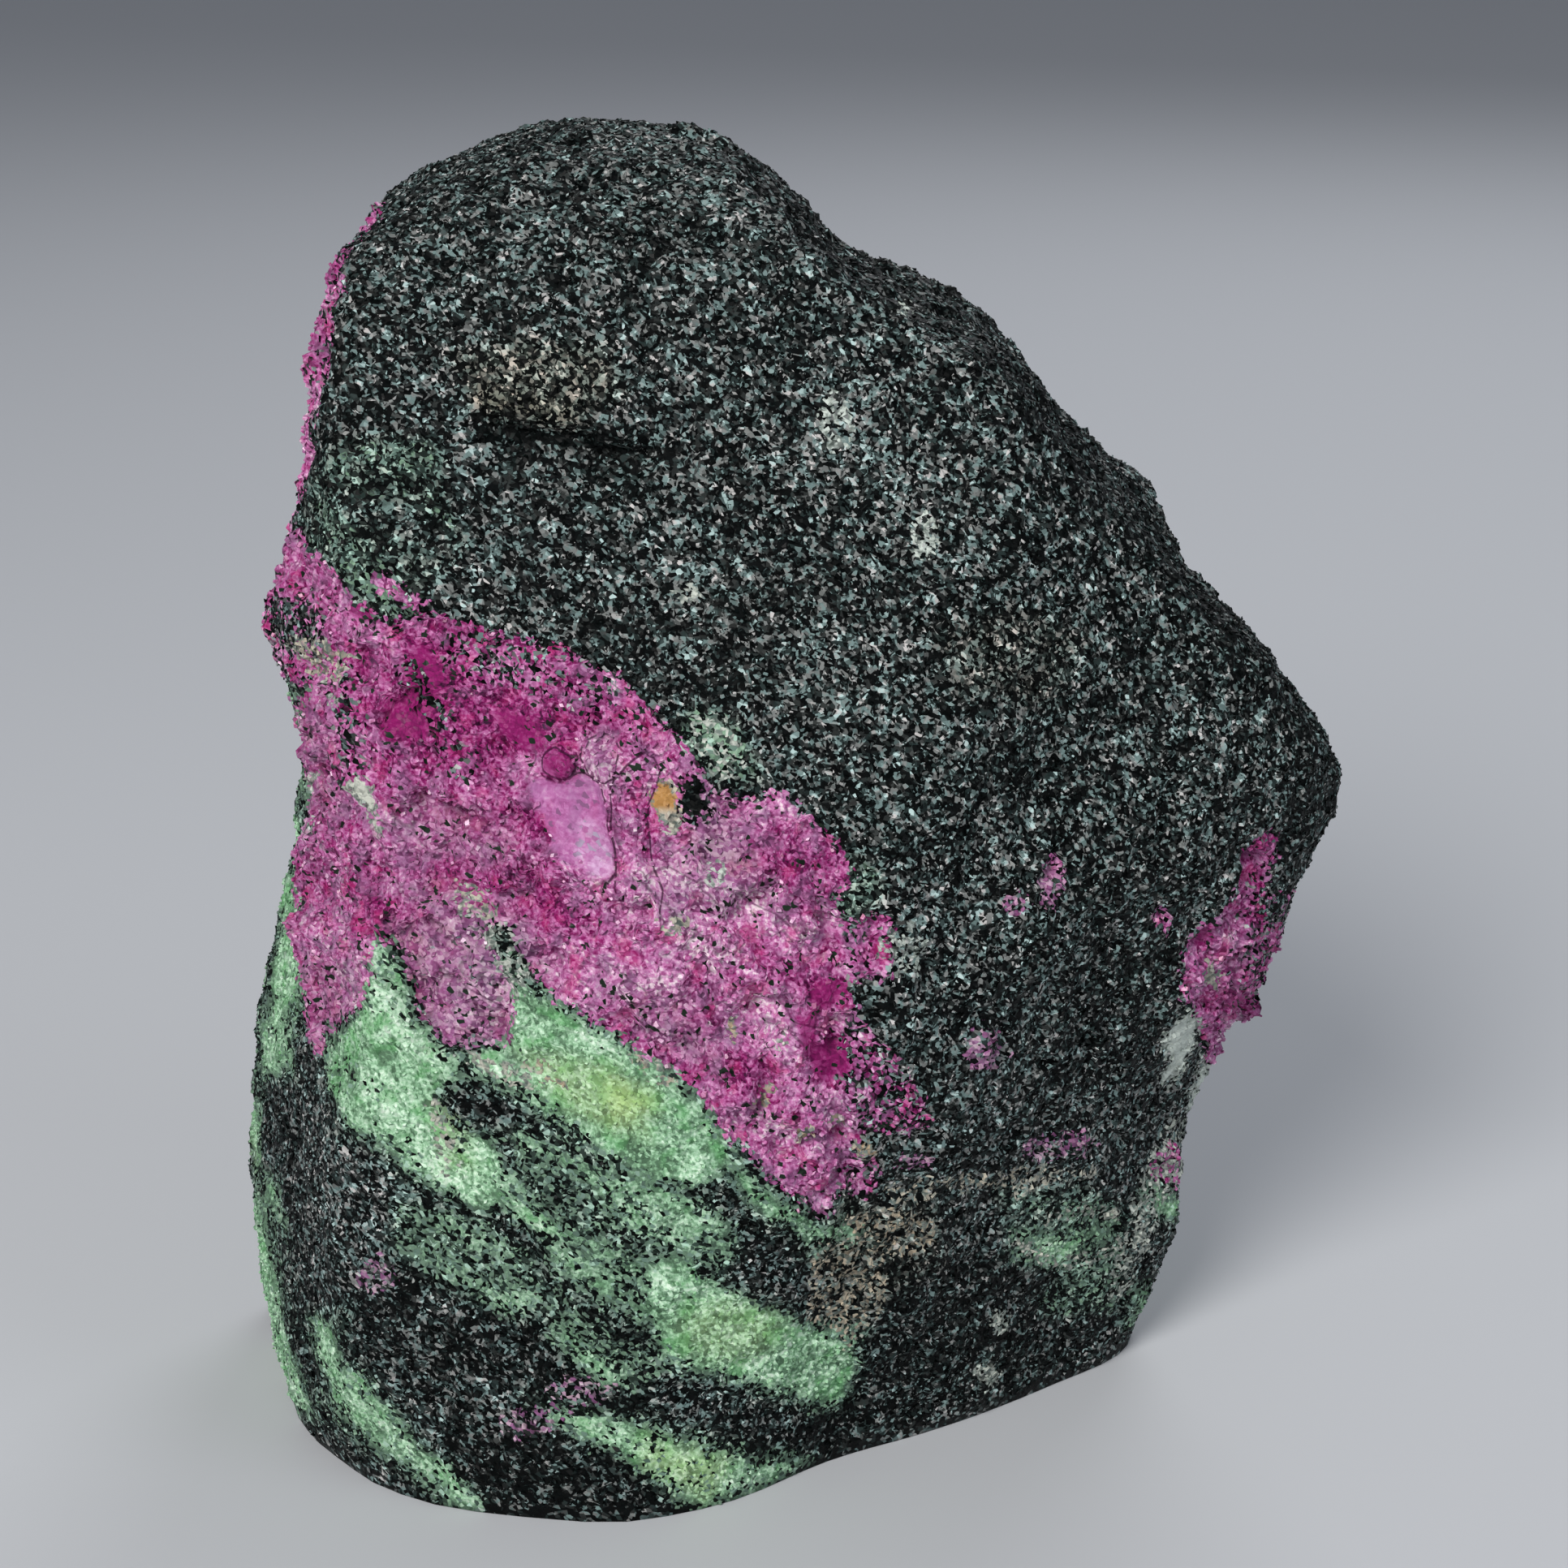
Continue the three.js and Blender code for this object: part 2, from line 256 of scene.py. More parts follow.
# White, cream and ochre spots: share, warmth from 0 (white) to 1 (ochre), and shape.
FRONT_PALE = [
    (1.0, 0.15, outline((430, 962), (440, 955), (465, 985), (475, 1020), (465, 1032), (438, 985))),
    (0.52, 0.4, outline((355, 790), (385, 785), (425, 812), (412, 842), (370, 830))),
    (0.9, 0.1, spot(412, 859, 7, 6)),
    (0.9, 0.1, spot(381, 966, 6, 8)),
    (1.0, 0.0, spot(391, 1018, 6, 9)),
    (0.4, 0.1, outline((590, 1125), (625, 1140), (652, 1200), (640, 1235), (612, 1190))),
    (0.5, 0.35, outline((556, 1092), (600, 1100), (604, 1132), (566, 1126))),
    (0.85, 0.05, spot(883, 1080, 13, 15)),
    (0.9, 0.35, spot(832, 1141, 20, 10)),
    (1.0, 1.0, outline((800, 972), (826, 958), (840, 985), (838, 1012), (812, 1008), (798, 990))),
    (0.85, 0.3, spot(827, 1014, 14, 11)),
    (0.9, 0.2, spot(970, 1290, 6, 10)),
    (0.85, 0.6, spot(910, 1275, 7, 9)),
    (0.8, 0.6, spot(945, 1357, 11, 8)),
    (0.8, 0.7, spot(990, 1395, 9, 12)),
    (0.8, 0.6, spot(1035, 1386, 9, 7)),
    (0.85, 0.7, spot(1068, 1416, 11, 8)),
    (0.75, 0.3, spot(1497, 1203, 9, 13)),
    (1.0, 0.0, outline(
        (1448, 1255), (1468, 1240), (1480, 1262), (1458, 1312), (1440, 1342), (1428, 1332), (1438, 1278),
    )),
    (1.0, 0.0, outline((1480, 1302), (1494, 1310), (1466, 1390), (1456, 1384), (1470, 1328))),
    (0.45, 0.1, stroke(26, (1452, 1395), (1425, 1460), (1402, 1530), (1378, 1590))),
    (0.4, 0.55, outline(
        (1045, 1502), (1100, 1492), (1152, 1505), (1150, 1532), (1088, 1560), (1040, 1550),
    )),
    (0.36, 0.5, outline((1005, 1535), (1090, 1530), (1086, 1620), (1040, 1655), (1000, 1620))),
    (0.3, 0.4, stroke(20, (1110, 1476), (1170, 1460), (1290, 1448))),
    (0.4, 0.3, stroke(12, (1255, 1470), (1300, 1450), (1345, 1442))),
    (0.42, 0.2, stroke(12, (1250, 1530), (1300, 1556), (1350, 1550), (1376, 1530))),
    (0.36, 0.2, stroke(10, (1290, 1502), (1335, 1490), (1374, 1498))),
    (0.7, 0.1, spot(1232, 1628, 9, 12)),
    (0.6, 0.1, spot(1218, 1695, 17, 13)),
    (0.55, 0.0, spot(1114, 380, 7, 7)),
    (0.45, 0.0, spot(1032, 520, 20, 32)),
    (0.6, 0.0, spot(1137, 660, 16, 24)),
    (0.6, 0.1, spot(845, 735, 14, 9)),
    (0.3, 0.1, outline((856, 880), (900, 885), (918, 950), (888, 962), (858, 925))),
    (0.35, 0.55, outline((640, 1312), (695, 1316), (700, 1346), (650, 1340))),
    (0.4, 0.45, outline((775, 1300), (815, 1310), (832, 1338), (800, 1336))),
    (0.5, 0.25, stroke(16, (566, 1304), (610, 1318), (655, 1334))),
    (0.45, 0.25, stroke(18, (534, 1368), (545, 1404), (556, 1444))),
    (0.3, 0.0, spot(1112, 1168, 26, 32)),
]

# How rich the ruby's colour is: above 0 it is deep, below 0 pale pink.
FRONT_RICHNESS = [
    (1.1, outline((462, 864), (520, 872), (524, 902), (474, 908))),
    (0.9, outline((500, 790), (540, 792), (540, 870), (505, 868))),
    (0.8, spot(443, 750, 14, 11)),
    (0.9, outline((612, 878), (655, 888), (676, 912), (662, 928), (622, 906))),
    (1.1, spot(690, 941, 24, 24)),
    (-0.7, spot(740, 934, 22, 34)),
    (1.25, outline((992, 1214), (1030, 1202), (1056, 1208), (1040, 1236), (1004, 1258))),
    (1.2, outline((978, 1246), (1006, 1256), (1014, 1296), (990, 1300))),
    (1.25, outline((996, 1294), (1050, 1288), (1052, 1326), (1030, 1346), (1008, 1338))),
    (1.2, spot(1525, 1235, 14, 13)),
    (1.1, spot(1488, 1160, 15, 16)),
    (0.5, outline((420, 800), (640, 830), (700, 900), (560, 960), (440, 900))),
    (0.45, outline((530, 950), (650, 980), (690, 1080), (600, 1090), (520, 1040))),
    (-0.35, outline((990, 1118), (1042, 1122), (1040, 1200), (994, 1198))),
    (-0.3, outline((860, 1300), (980, 1330), (1060, 1390), (1050, 1450), (960, 1440), (880, 1370))),
    (0.2, outline((810, 1050), (900, 1050), (1000, 1085), (995, 1180), (900, 1180), (815, 1110))),
    (-0.3, outline((760, 1060), (960, 1080), (1000, 1200), (960, 1300), (840, 1280), (740, 1180))),
    (0.2, outline((368, 860), (418, 870), (420, 1110), (368, 1110))),
    (0.35, outline((345, 650), (440, 735), (500, 785), (430, 830), (350, 780))),
    (-0.35, outline((380, 1160), (455, 1160), (440, 1230), (385, 1280))),
]

# The one smooth plate of ruby and its whitish corner, the slab, the bead and the disc beside it, and where
# they have cracks round them.
PLATE = outline(
    (650, 958), (668, 955), (690, 966), (715, 950), (738, 968), (750, 1010), (757, 1040), (755, 1090),
    (720, 1080), (690, 1060), (672, 1045), (655, 985),
)
PLATE_CORNER = outline((712, 1000), (750, 1015), (756, 1085), (722, 1080), (700, 1050))
SLAB = outline(
    (752, 962), (770, 950), (800, 925), (815, 955), (798, 985), (800, 1040), (816, 1100), (812, 1150),
    (772, 1148), (757, 1095), (758, 1040), (751, 1000),
)
BEAD = outline((668, 926), (690, 918), (708, 932), (711, 950), (700, 962), (682, 962), (669, 948))
DISC = outline(
    (719, 912), (737, 900), (755, 905), (766, 930), (758, 955), (742, 967), (725, 955), (717, 935),
)
CRACKED = outline(
    (655, 905), (735, 885), (800, 905), (825, 960), (812, 1020), (835, 1100), (815, 1160), (765, 1110),
    (752, 1100), (735, 1090), (738, 1000), (700, 975), (660, 960),
)

# Other tints of the front, amount and shape: yellow-green zoisite and rusty amphibole.
FRONT_YELLOW = [
    (1.0, outline((748, 1338), (800, 1340), (812, 1368), (760, 1376))),
    (0.4, spot(900, 1640, 60, 36)),
    (0.6, outline((640, 1300), (760, 1310), (800, 1400), (700, 1370))),
    (0.8, outline((790, 1775), (900, 1800), (870, 1845), (800, 1810))),
    (0.5, outline((536, 1364), (560, 1370), (580, 1440), (550, 1440))),
]
FRONT_BROWN = [
    (0.8, outline((556, 440), (640, 415), (745, 425), (770, 480), (700, 515), (590, 505))),
    (0.8, stroke(18, (590, 498), (650, 506), (714, 516))),
    (0.5, outline((1150, 780), (1250, 740), (1340, 790), (1300, 870), (1180, 860))),
    (0.5, outline((1040, 1480), (1160, 1480), (1160, 1560), (1050, 1640), (1000, 1560))),
]
# Where the ruby is greyish mauve.
FRONT_GREY = [
    (1.0, outline((470, 1140), (590, 1135), (630, 1200), (636, 1290), (560, 1290), (505, 1240))),
    (0.7, outline((370, 1180), (455, 1180), (440, 1240), (385, 1295))),
    (0.7, outline((470, 1090), (560, 1090), (640, 1130), (700, 1220), (620, 1180))),
    (0.9, outline((848, 955), (890, 960), (905, 1010), (900, 1065), (855, 1040))),
    (0.8, outline((860, 1040), (930, 1035), (945, 1110), (890, 1130), (800, 1112), (800, 1065))),
    (0.5, outline((366, 880), (412, 890), (408, 1010), (368, 1010))),
    (0.5, outline((470, 980), (600, 990), (640, 1060), (500, 1060))),
    (0.6, outline((740, 1190), (840, 1220), (900, 1330), (800, 1290))),
    (0.3, outline((1500, 1160), (1545, 1170), (1540, 1220), (1500, 1230))),
    (0.7, spot(740, 934, 24, 36)),
    (1.0, spot(1270, 1098, 44, 40)),
    (1.3, spot(1214, 1290, 40, 40)),
    (1.5, spot(1300, 1412, 60, 30)),
    (1.5, spot(1126, 1431, 30, 24)),
    (1.6, outline((600, 1680), (780, 1690), (770, 1740), (660, 1790), (600, 1760))),
    (1.6, spot(460, 1572, 40, 40)),
]
# Where the rock is lighter or, below 0, darker. This is partly its own lighter and darker patches and partly
# painted shade: along the right edge, which turns away from the light, on the lower right side, on the low
# front near the foot, and under the brow's ledge, with a painted shadow line along its edge.
FRONT_PATCHES_AND_PAINTED_SHADE = [
    # Painted shade along the right edge, which turns away from the light.
    (-0.7, outline(
        (900, 175), (960, 215), (1050, 315), (1170, 365), (1290, 480), (1410, 630), (1530, 760),
        (1600, 840), (1640, 940), (1610, 1050), (1560, 1060), (1590, 960), (1560, 870), (1450, 740),
        (1360, 630), (1240, 485), (1150, 405), (1030, 345), (940, 260), (880, 190),
    )),
    # Painted shade on the lower right side, away from the key light on the left.
    (-0.5, outline(
        (1050, 1560), (1200, 1540), (1380, 1600), (1400, 1640), (1200, 1745), (1040, 1780), (1060, 1660),
    )),
    (0.35, outline((556, 440), (640, 415), (745, 425), (770, 480), (700, 515), (590, 505))),
    (-2.4, outline((838, 962), (872, 958), (878, 1000), (862, 1014), (838, 1008))),
    (0.35, outline((390, 1370), (470, 1400), (560, 1500), (560, 1560), (450, 1560), (380, 1480))),
    # Painted shade on the low front, darkest in the band nearest the floor (this and the next two).
    (-0.45, outline(
        (430, 1620), (520, 1560), (600, 1600), (800, 1640), (800, 1750), (640, 1720), (480, 1700),
    )),
    (-0.9, outline(
        (560, 1740), (660, 1770), (800, 1830), (870, 1850), (860, 1880), (640, 1880), (560, 1820),
    )),
    (-0.6, outline((870, 1740), (1010, 1760), (1050, 1720), (1060, 1790), (960, 1830), (880, 1790))),
    # Painted shade under the brow's ledge, then a painted shadow line just under its edge.
    (-0.4, outline((570, 505), (800, 535), (860, 560), (760, 600), (600, 560))),
    (-2.6, stroke(12, (612, 525), (640, 527), (690, 540), (740, 551), (786, 556))),
    (0.35, outline((960, 440), (1100, 470), (1120, 620), (1010, 620))),
    (0.3, outline((880, 1080), (1150, 1100), (1180, 1200), (1080, 1120))),
    (0.4, outline((860, 880), (960, 900), (1060, 1040), (980, 980))),
]
# The broken edge of the brow, from left to right.
BROW_LINE = [(592, 508), (650, 517), (710, 532), (760, 541), (806, 548)]

# The sides that the photograph doesn't show: dark rock above a contact that dips with the layers, and lenses
# of ruby and black along them, in millimetres: share, middle, half sizes and how far each is turned about Y.
BACK_CONTACT = 50.0
BACK_RUBY = [
    (1.0, (-5, 22, 50), (23, 10, 6), 33),
    (0.9, (22, 22, 28), (10, 8, 3.6), 30),
    (1.0, (-24, 20, 33), (10, 9, 3.4), 36),
    (0.8, (6, 24, 21), (7, 7, 2.4), 30),
    (1.0, (-37, 4, 64), (9, 9, 8), 40),
    (0.95, (37, 7, 45), (6, 8, 7), 40),
    (0.7, (12, 24, 76), (10, 8, 2), 36),
]
BACK_BLACK = [
    (1.0, (-16, 20, 22), (18, 10, 3.6), 33),
    (1.0, (14, 22, 13), (15, 9, 3.4), 28),
    (0.9, (-40, 0, 28), (8, 11, 5.5), 20),
    (0.9, (30, 10, 19), (9, 10, 5), 34),
    (0.8, (-34, 14, 46), (12, 9, 2.6), 34),
]
# The dark rim that parts the ruby from the green there.
BACK_RIM = 1.2
# Black streaks and pale spots there: how strong they are, and how much of them is cut off. Then how warm the
# spots are and how much the ruby's richness varies.
BACK_STREAKS = {"strength": 1.5, "cut": 0.55}
BACK_SPOTS = {"strength": 0.8, "cut": 1.0}
BACK_WARMTH = 0.3
BACK_RICHNESS = 0.5
# Tinted patches there: the tint's amount, the size and salt of the noise that the patches follow, and the
# values of the noise at which a patch starts and is full.
BACK_PATCHES = {
    "yellow": (0.4, 9, 39, (0.1, 0.6)),
    "brown": (0.4, 12, 40, (0.3, 0.7)),
    "grey": (0.6, 6, 48, (0, 0.6)),
}

# How the zones' edges wander, in pixels on the front and in millimetres elsewhere: how far, the size of the
# noise and its salts.
FRONT_WANDER = [(5, 2.6, (11, 12)), (3, 1.1, (13, 14))]
BACK_WANDER = [(2.6, 8, (42, 43, 44)), (1.2, 3.5, (45, 46, 47))]

# Streaks along the rock's layers: how much they are drawn out along them and into the stone, and how thick
# the coarse and the fine ones are, with the share of the fine ones.
STREAK = {"along": 3.2, "deep": 2, "coarse": 3.4, "fine": 1.5, "fine_share": 0.6}
# How streaks along the layers break into the green: they move its border, up to so far inside, and they
# limit how far inside the green a grain can count as, which is a little more in the thick of it.
GREEN_BORDER = {"shift": 0.12, "streaks": 0.85, "up_to": (0.1, 0.4)}
GREEN_LIMIT = {"level": 0.35, "streaks": 0.5, "thick": 0.4, "thick_from": (0.5, 3)}

# How far back the front's own pattern reaches on the left and on the right, between which places across that
# changes, how far its end wanders, and how softly it ends.
FRONT_REACH = {"left": -4.0, "right": 9.0}
LEFT_SIDE = (-40.0, -24.0)
REACH_WANDER = 2.5
FRONT_FADE = 5.0

# How far inside a zone a point counts as when it is far from all of them.
FAR_OUTSIDE = -6.0
# The width of the border in which the grains of two minerals are mixed: of green and black, round the ruby,
# and round the white spots.
MIXING = 1.5
RUBY_MIXING = 0.8
PALE_MIXING = 0.7
# In pixels, how far outside a white spot its warmth still holds, and how softly the plate's whitish corner
# and the cracks begin.
WARM_MARGIN = 4
FROST_FADE = 8
CRACKS_FADE = 10
# How strong the light and dark patches are that every side has.
UNEVENNESS = 0.25

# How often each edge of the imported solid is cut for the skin, in how many steps that is rounded, and under
# which distance in metres two places are the same.
SKIN_CUTS = 3
SMOOTHING_STEPS = 9
TOUCHING = 1e-6
# How high over the foot the skin is broken in full, between which heights the grains set in, and how low the
# skin may hang.
BROKEN_FROM = 2.5
GRAINS_FROM = (0.9, 1.5)
LOWEST = 0.02

# How the skin is broken, in millimetres: the size of the facets and how steep they are in each mineral, and
# the size and height of its lumps.
FACETS = {
    "black": [(3.4, 0.12), (1.5, 0.22)],
    "ruby": [(4.2, 0.3), (1.9, 0.42), (1.0, 0.3)],
    "green": [(3.0, 0.12), (1.2, 0.16)],
}
LUMPINESS = [(11.0, 0.25), (5.0, 0.14), (2.4, 0.12)]
# How far the ruby lies back, the plate sinks and the bead swells, and at which levels each of these starts
# and is full. Then how much smoother the plate is, and how far from a border two minerals' facets are mixed.
RUBY_STEP = 0.45
PLATE_SINK = 0.25
BEAD_SWELL = 0.5
STEP_LEVELS = {"ruby": (-0.2, 0.8), "plate": (0, 0.4), "bead": (-0.3, 0.8)}
PLATE_SMOOTHNESS = 0.9
FACET_BORDER = 0.3
# How far the brow's edge stands out over its line and lies back under it, and how far from the line that
# reaches. It goes on past the line's ends and fades, in halves of the line, and ends between two depths.
BROW_STEP = {"over": 0.75, "under": 1.15, "reach": 2.6, "past": 1.25, "fade": 0.55, "depths": (-2, 4)}
# The noises that move the border between two minerals' grains, by size and salt, and their strength.
JITTER = {"noises": [(0.9, 71), (2.0, 72)], "strength": 0.7}
# How softly a mineral's grains end at its border, between which levels the plate gets bare of them, and the
# same for white spots, with how bare those are.
GRAIN_BORDER = 0.2
PLATE_BARE = (-0.25, 0.1)
SPOT_HEART = (0.25, 0.55)
SPOT_BARE = 0.9
# Where the ruby is rich it is clear, so it has few crystals.
CLEAR_RUBY = {"rich_from": (0.6, 0.95), "bare": 0.92}


def length(name, description, default, least):
    """A size that a user can change, given in millimetres."""
    return FloatProperty(
        name=name, description=description, default=default * MM, min=least * MM, unit="LENGTH", precision=5,
    )


class StoneSizes(bpy.types.PropertyGroup):
    """The sizes of the grains that stick out of the stone."""

    black_spacing: length("Amphibole spacing", "Least distance between two black grains", 0.38, 0.2)
    black_length: length("Amphibole length", "Length of the longest black prisms", 0.72, 0.1)
    ruby_spacing: length("Ruby spacing", "Least distance between two ruby crystals", 0.6, 0.2)
    ruby_width: length("Ruby width", "Width of the widest ruby crystals", 0.8, 0.1)
    green_spacing: length("Zoisite spacing", "Least distance between two green grains", 0.52, 0.2)
    green_width: length("Zoisite width", "Width of the widest green grains", 0.52, 0.1)
    seed: IntProperty(name="Seed", description="Another seed scatters the grains elsewhere", default=7, min=0)


def colour(name, description, default):
    """A colour that a user can change."""
    return FloatVectorProperty(
        name=name, description=description, default=default, subtype="COLOR", size=3, min=0, max=1,
    )


class StoneColours(bpy.types.PropertyGroup):
    """The minerals' colours."""

    black: colour("Amphibole, dark", "The black amphibole's darkest grains", (0.0015, 0.0022, 0.0022))
    black_mid: colour("Amphibole, mid", "The black amphibole's dark grey grains", (0.02, 0.026, 0.025))
    # The grey grains and light flecks are partly pale specks and partly painted glints off the crystal faces.
    black_grey_and_glint: colour("Amphibole, light", "Its grey grains", (0.155, 0.185, 0.18))
    black_fleck_and_glint: colour("Amphibole, fleck", "Its few light grey flecks", (0.46, 0.5, 0.49))
    cool: colour("Amphibole, cool", "Tint of its cooler parts", (0.82, 1.0, 1.0))
    warm: colour("Amphibole, warm", "Tint of its warmer parts", (1.0, 0.88, 0.88))
    rust: colour("Rust", "Tint of the rusty parts of the amphibole", (1.0, 0.74, 0.52))
    ruby_black: colour("Ruby, darkest", "Cracks and shadows in the ruby", (0.03, 0.006, 0.022))
    ruby_dark: colour("Ruby, dark", "Dark purple ruby", (0.085, 0.008, 0.05))
    ruby_deep: colour("Ruby, deep", "Clear, deep ruby", (0.22, 0.01, 0.105))
    ruby: colour("Ruby", "The ruby's middle tone", (0.34, 0.08, 0.23))
    ruby_pale: colour("Ruby, pale", "Ruby that is crushed or thin", (0.47, 0.165, 0.355))
    ruby_white: colour("Ruby, fleck", "Whitish flecks in the ruby", (0.58, 0.32, 0.49))
    plate: colour("Ruby plate", "The smooth lilac plate", (0.34, 0.125, 0.3))
    plate_frost: colour("Ruby plate, frost", "The whitish part of the plate", (0.56, 0.44, 0.62))
    ruby_mauve: colour("Ruby, mauve", "Greyish purple ruby", (0.21, 0.1, 0.2))
    ruby_grey: colour("Ruby, grey", "Greyish grains in the mauve ruby", (0.36, 0.3, 0.33))
    ruby_red: colour("Ruby, red", "Redder ruby", (0.4, 0.02, 0.13))
    ruby_frost: colour("Ruby, frost", "The few greyish white grains in the ruby", (0.7, 0.56, 0.62))
    green_wash: colour("Amphibole near zoisite", "Tint of the amphibole beside the zoisite", (0.7, 1.0, 0.78))
    green_black: colour("Zoisite, darkest", "Dark flecks in the zoisite and the ruby", (0.014, 0.024, 0.016))
    green_dark: colour("Zoisite, dark", "The zoisite's darker grains", (0.09, 0.17, 0.1))
    green: colour("Zoisite", "The zoisite's middle tone", (0.2, 0.37, 0.22))
    green_grey: colour("Zoisite, grey", "The zoisite's grains among black ones", (0.115, 0.155, 0.135))
    green_clear: colour("Zoisite, clear", "The zoisite's purer green", (0.1, 0.32, 0.11))
    green_light: colour("Zoisite, light", "The zoisite's light grains", (0.4, 0.6, 0.42))
    green_white: colour("Zoisite, fleck", "The zoisite's lightest flecks", (0.62, 0.76, 0.62))
    yellow: colour("Zoisite, yellow", "Where the zoisite is yellow-green", (0.44, 0.58, 0.22))
    white: colour("Feldspar", "White and grey spots", (0.47, 0.52, 0.475))
    white_shade: colour("Feldspar, shaded", "The grey grains among the white spots", (0.15, 0.18, 0.16))
    ochre: colour("Ochre", "Ochre and cream spots", (0.38, 0.2, 0.065))


def power(name, description, default):
    """A light's power that a user can change."""
    return FloatProperty(name=name, description=description, default=default, min=0, unit="POWER")


class StudioSettings(bpy.types.PropertyGroup):
    """The plain studio."""

    floor: colour("Floor", "The pale floor's colour", (0.48, 0.49, 0.51))
    backdrop: colour("Sky", "The light from all around", (0.62, 0.66, 0.74))
    ambient: FloatProperty(name="Ambient", description="Strength of the light around", default=0.36, min=0)
    key: power("Key", "Power of the soft light on the upper left", 9)
    fill: power("Fill", "Power of the light on the right", 2)
    rim: power("Rim", "Power of the light behind the stone", 2)


def photo_pixels(points):
    """Where points in millimetres lie in the photograph."""
    away = points - CAMERA_AT
    ahead = away[:, 1] * math.cos(CAMERA_TILT) - away[:, 2] * math.sin(CAMERA_TILT)
    up = away[:, 1] * math.sin(CAMERA_TILT) + away[:, 2] * math.cos(CAMERA_TILT)
    focal = LENS / SENSOR * PHOTO_SIDE
    middle = PHOTO_SIDE / 2
    return np.stack([middle + focal * away[:, 0] / ahead, middle - focal * up / ahead], axis=1)


def ease(values, start, end):
    """0 below start and 1 above end, eased between them."""
    t = np.clip((values - start) / (end - start), 0, 1)
    return t * t * (3 - 2 * t)


# Large primes and a shift that mix whole numbers up, and the step from one salt to the next.
HASH_PRIMES = (374761393, 668265263, 2246822519)
HASH_SHIFT = np.uint32(15)
SALT_STEP = 2654435761


def hashed(cells, salt):
    """A number from 0 to 1 that is fixed for each row of whole numbers."""
    mixed = np.full(cells.shape[:-1], salt * SALT_STEP % 2**32, np.uint32)
    for axis, factor in enumerate(HASH_PRIMES):
        mixed = (mixed ^ cells[..., axis].astype(np.int64).astype(np.uint32)) * np.uint32(factor)
        mixed ^= mixed >> HASH_SHIFT
    return mixed / 2**32


def noise(points, wavelength, salt):
    """Smooth noise from -1 to 1. Another salt gives another noise."""
    scaled = points / wavelength
    cell = np.floor(scaled)
    t = scaled - cell
    t = t * t * (3 - 2 * t)
    total = np.zeros(len(points))
    for corner in np.ndindex(2, 2, 2):
        weight = np.prod(np.where(corner, t, 1 - t), axis=1)
        total += weight * hashed(cell + corner, salt)
    return 2 * total - 1


def shaken(values, points, wander):
    """The values, each column of them moved by noises of its own."""
    for amount, wavelength, salts in wander:
        values = values + amount * np.stack([noise(points, wavelength, salt) for salt in salts], axis=1)
    return values


def broken(points, size, slope, salt):
    """The height of a surface broken into flat facets of about this size, each tilted its own way."""
    scaled = points / size
    cell = np.floor(scaled)
    nearest = np.full(len(points), np.inf)
    height = np.zeros(len(points))
    for step in np.ndindex(3, 3, 3):
        near = cell + np.array(step) - 1
        middle = near + np.stack([hashed(near, salt + axis) for axis in range(3)], axis=1)
        away = scaled - middle
        distance = np.linalg.norm(away, axis=1)
        tilt = np.stack([hashed(near, salt + 3 + axis) for axis in range(3)], axis=1) * 2 - 1
        lift = 0.25 * (2 * hashed(near, salt + 6) - 1)
        closer = distance < nearest
        nearest[closer] = distance[closer]
        height[closer] = (np.sum(away * tilt, axis=1) + lift)[closer]
    return height * size * slope


def level(share, distance, mixing):
    """How far inside a mineral a grain is. Where grains are mixed, it stays near the border."""
    return distance if share >= 1 else np.minimum(distance, (share - 0.5) * mixing)


def drawn(zones, pixels, mixing=MIXING):
    """The highest level that any of these zones gives each pixel, in millimetres."""
    highest = np.full(len(pixels), FAR_OUTSIDE)
    for share, shape in zones:
        highest = np.maximum(highest, level(share, shape(pixels) * PIXEL, mixing))
    return highest


def tinted(zones, pixels, softness):
    """The sum of the zones' amounts, each fading out softly at its border."""
    total = np.zeros(len(pixels))
    for amount, shape in zones:
        total += amount * ease(shape(pixels), -softness, softness)
    return total


def turned_about_y(points, angle):
    """The X and the Z of points turned about Y by this angle."""
    c, s = math.cos(angle), math.sin(angle)
    return points[:, 0] * c - points[:, 2] * s, points[:, 0] * s + points[:, 2] * c


def lenses(zones, points, mixing=MIXING):
    """The highest level that any of these lenses gives each point."""
    highest = np.full(len(points), FAR_OUTSIDE)
    for share, middle, half, turn in zones:
        away = points - middle
        along, across = turned_about_y(away, math.radians(turn))
        turned = np.stack([along, away[:, 1], across], axis=1)
        distance = (1 - np.linalg.norm(turned / half, axis=1)) * min(half)
        highest = np.maximum(highest, level(share, distance, mixing))
    return highest


def streaks(points, salt):
    """Noise that is drawn out along the rock's layers."""
    along, across = turned_about_y(points, LAYER_DIP)
    layered = np.stack([along / STREAK["along"], points[:, 1] / STREAK["deep"], across], axis=1)
    fine = STREAK["fine_share"] * noise(layered, STREAK["fine"], salt + 1)
    return noise(layered, STREAK["coarse"], salt) + fine


# The smooth parts in the ruby, and the front's tints with how softly each fades out, in pixels.
SMOOTH_PARTS = {"plate": PLATE, "slab": SLAB, "bead": BEAD, "disc": DISC}
FRONT_TINTS = {
    "rich": (FRONT_RICHNESS, 12),
    "yellow": (FRONT_YELLOW, 18),
    "brown": (FRONT_BROWN, 18),
    "grey": (FRONT_GREY, 18),
    # The shade: the front's own lighter and darker patches, and its painted shade.
    "shade": (FRONT_PATCHES_AND_PAINTED_SHADE, 26),
}


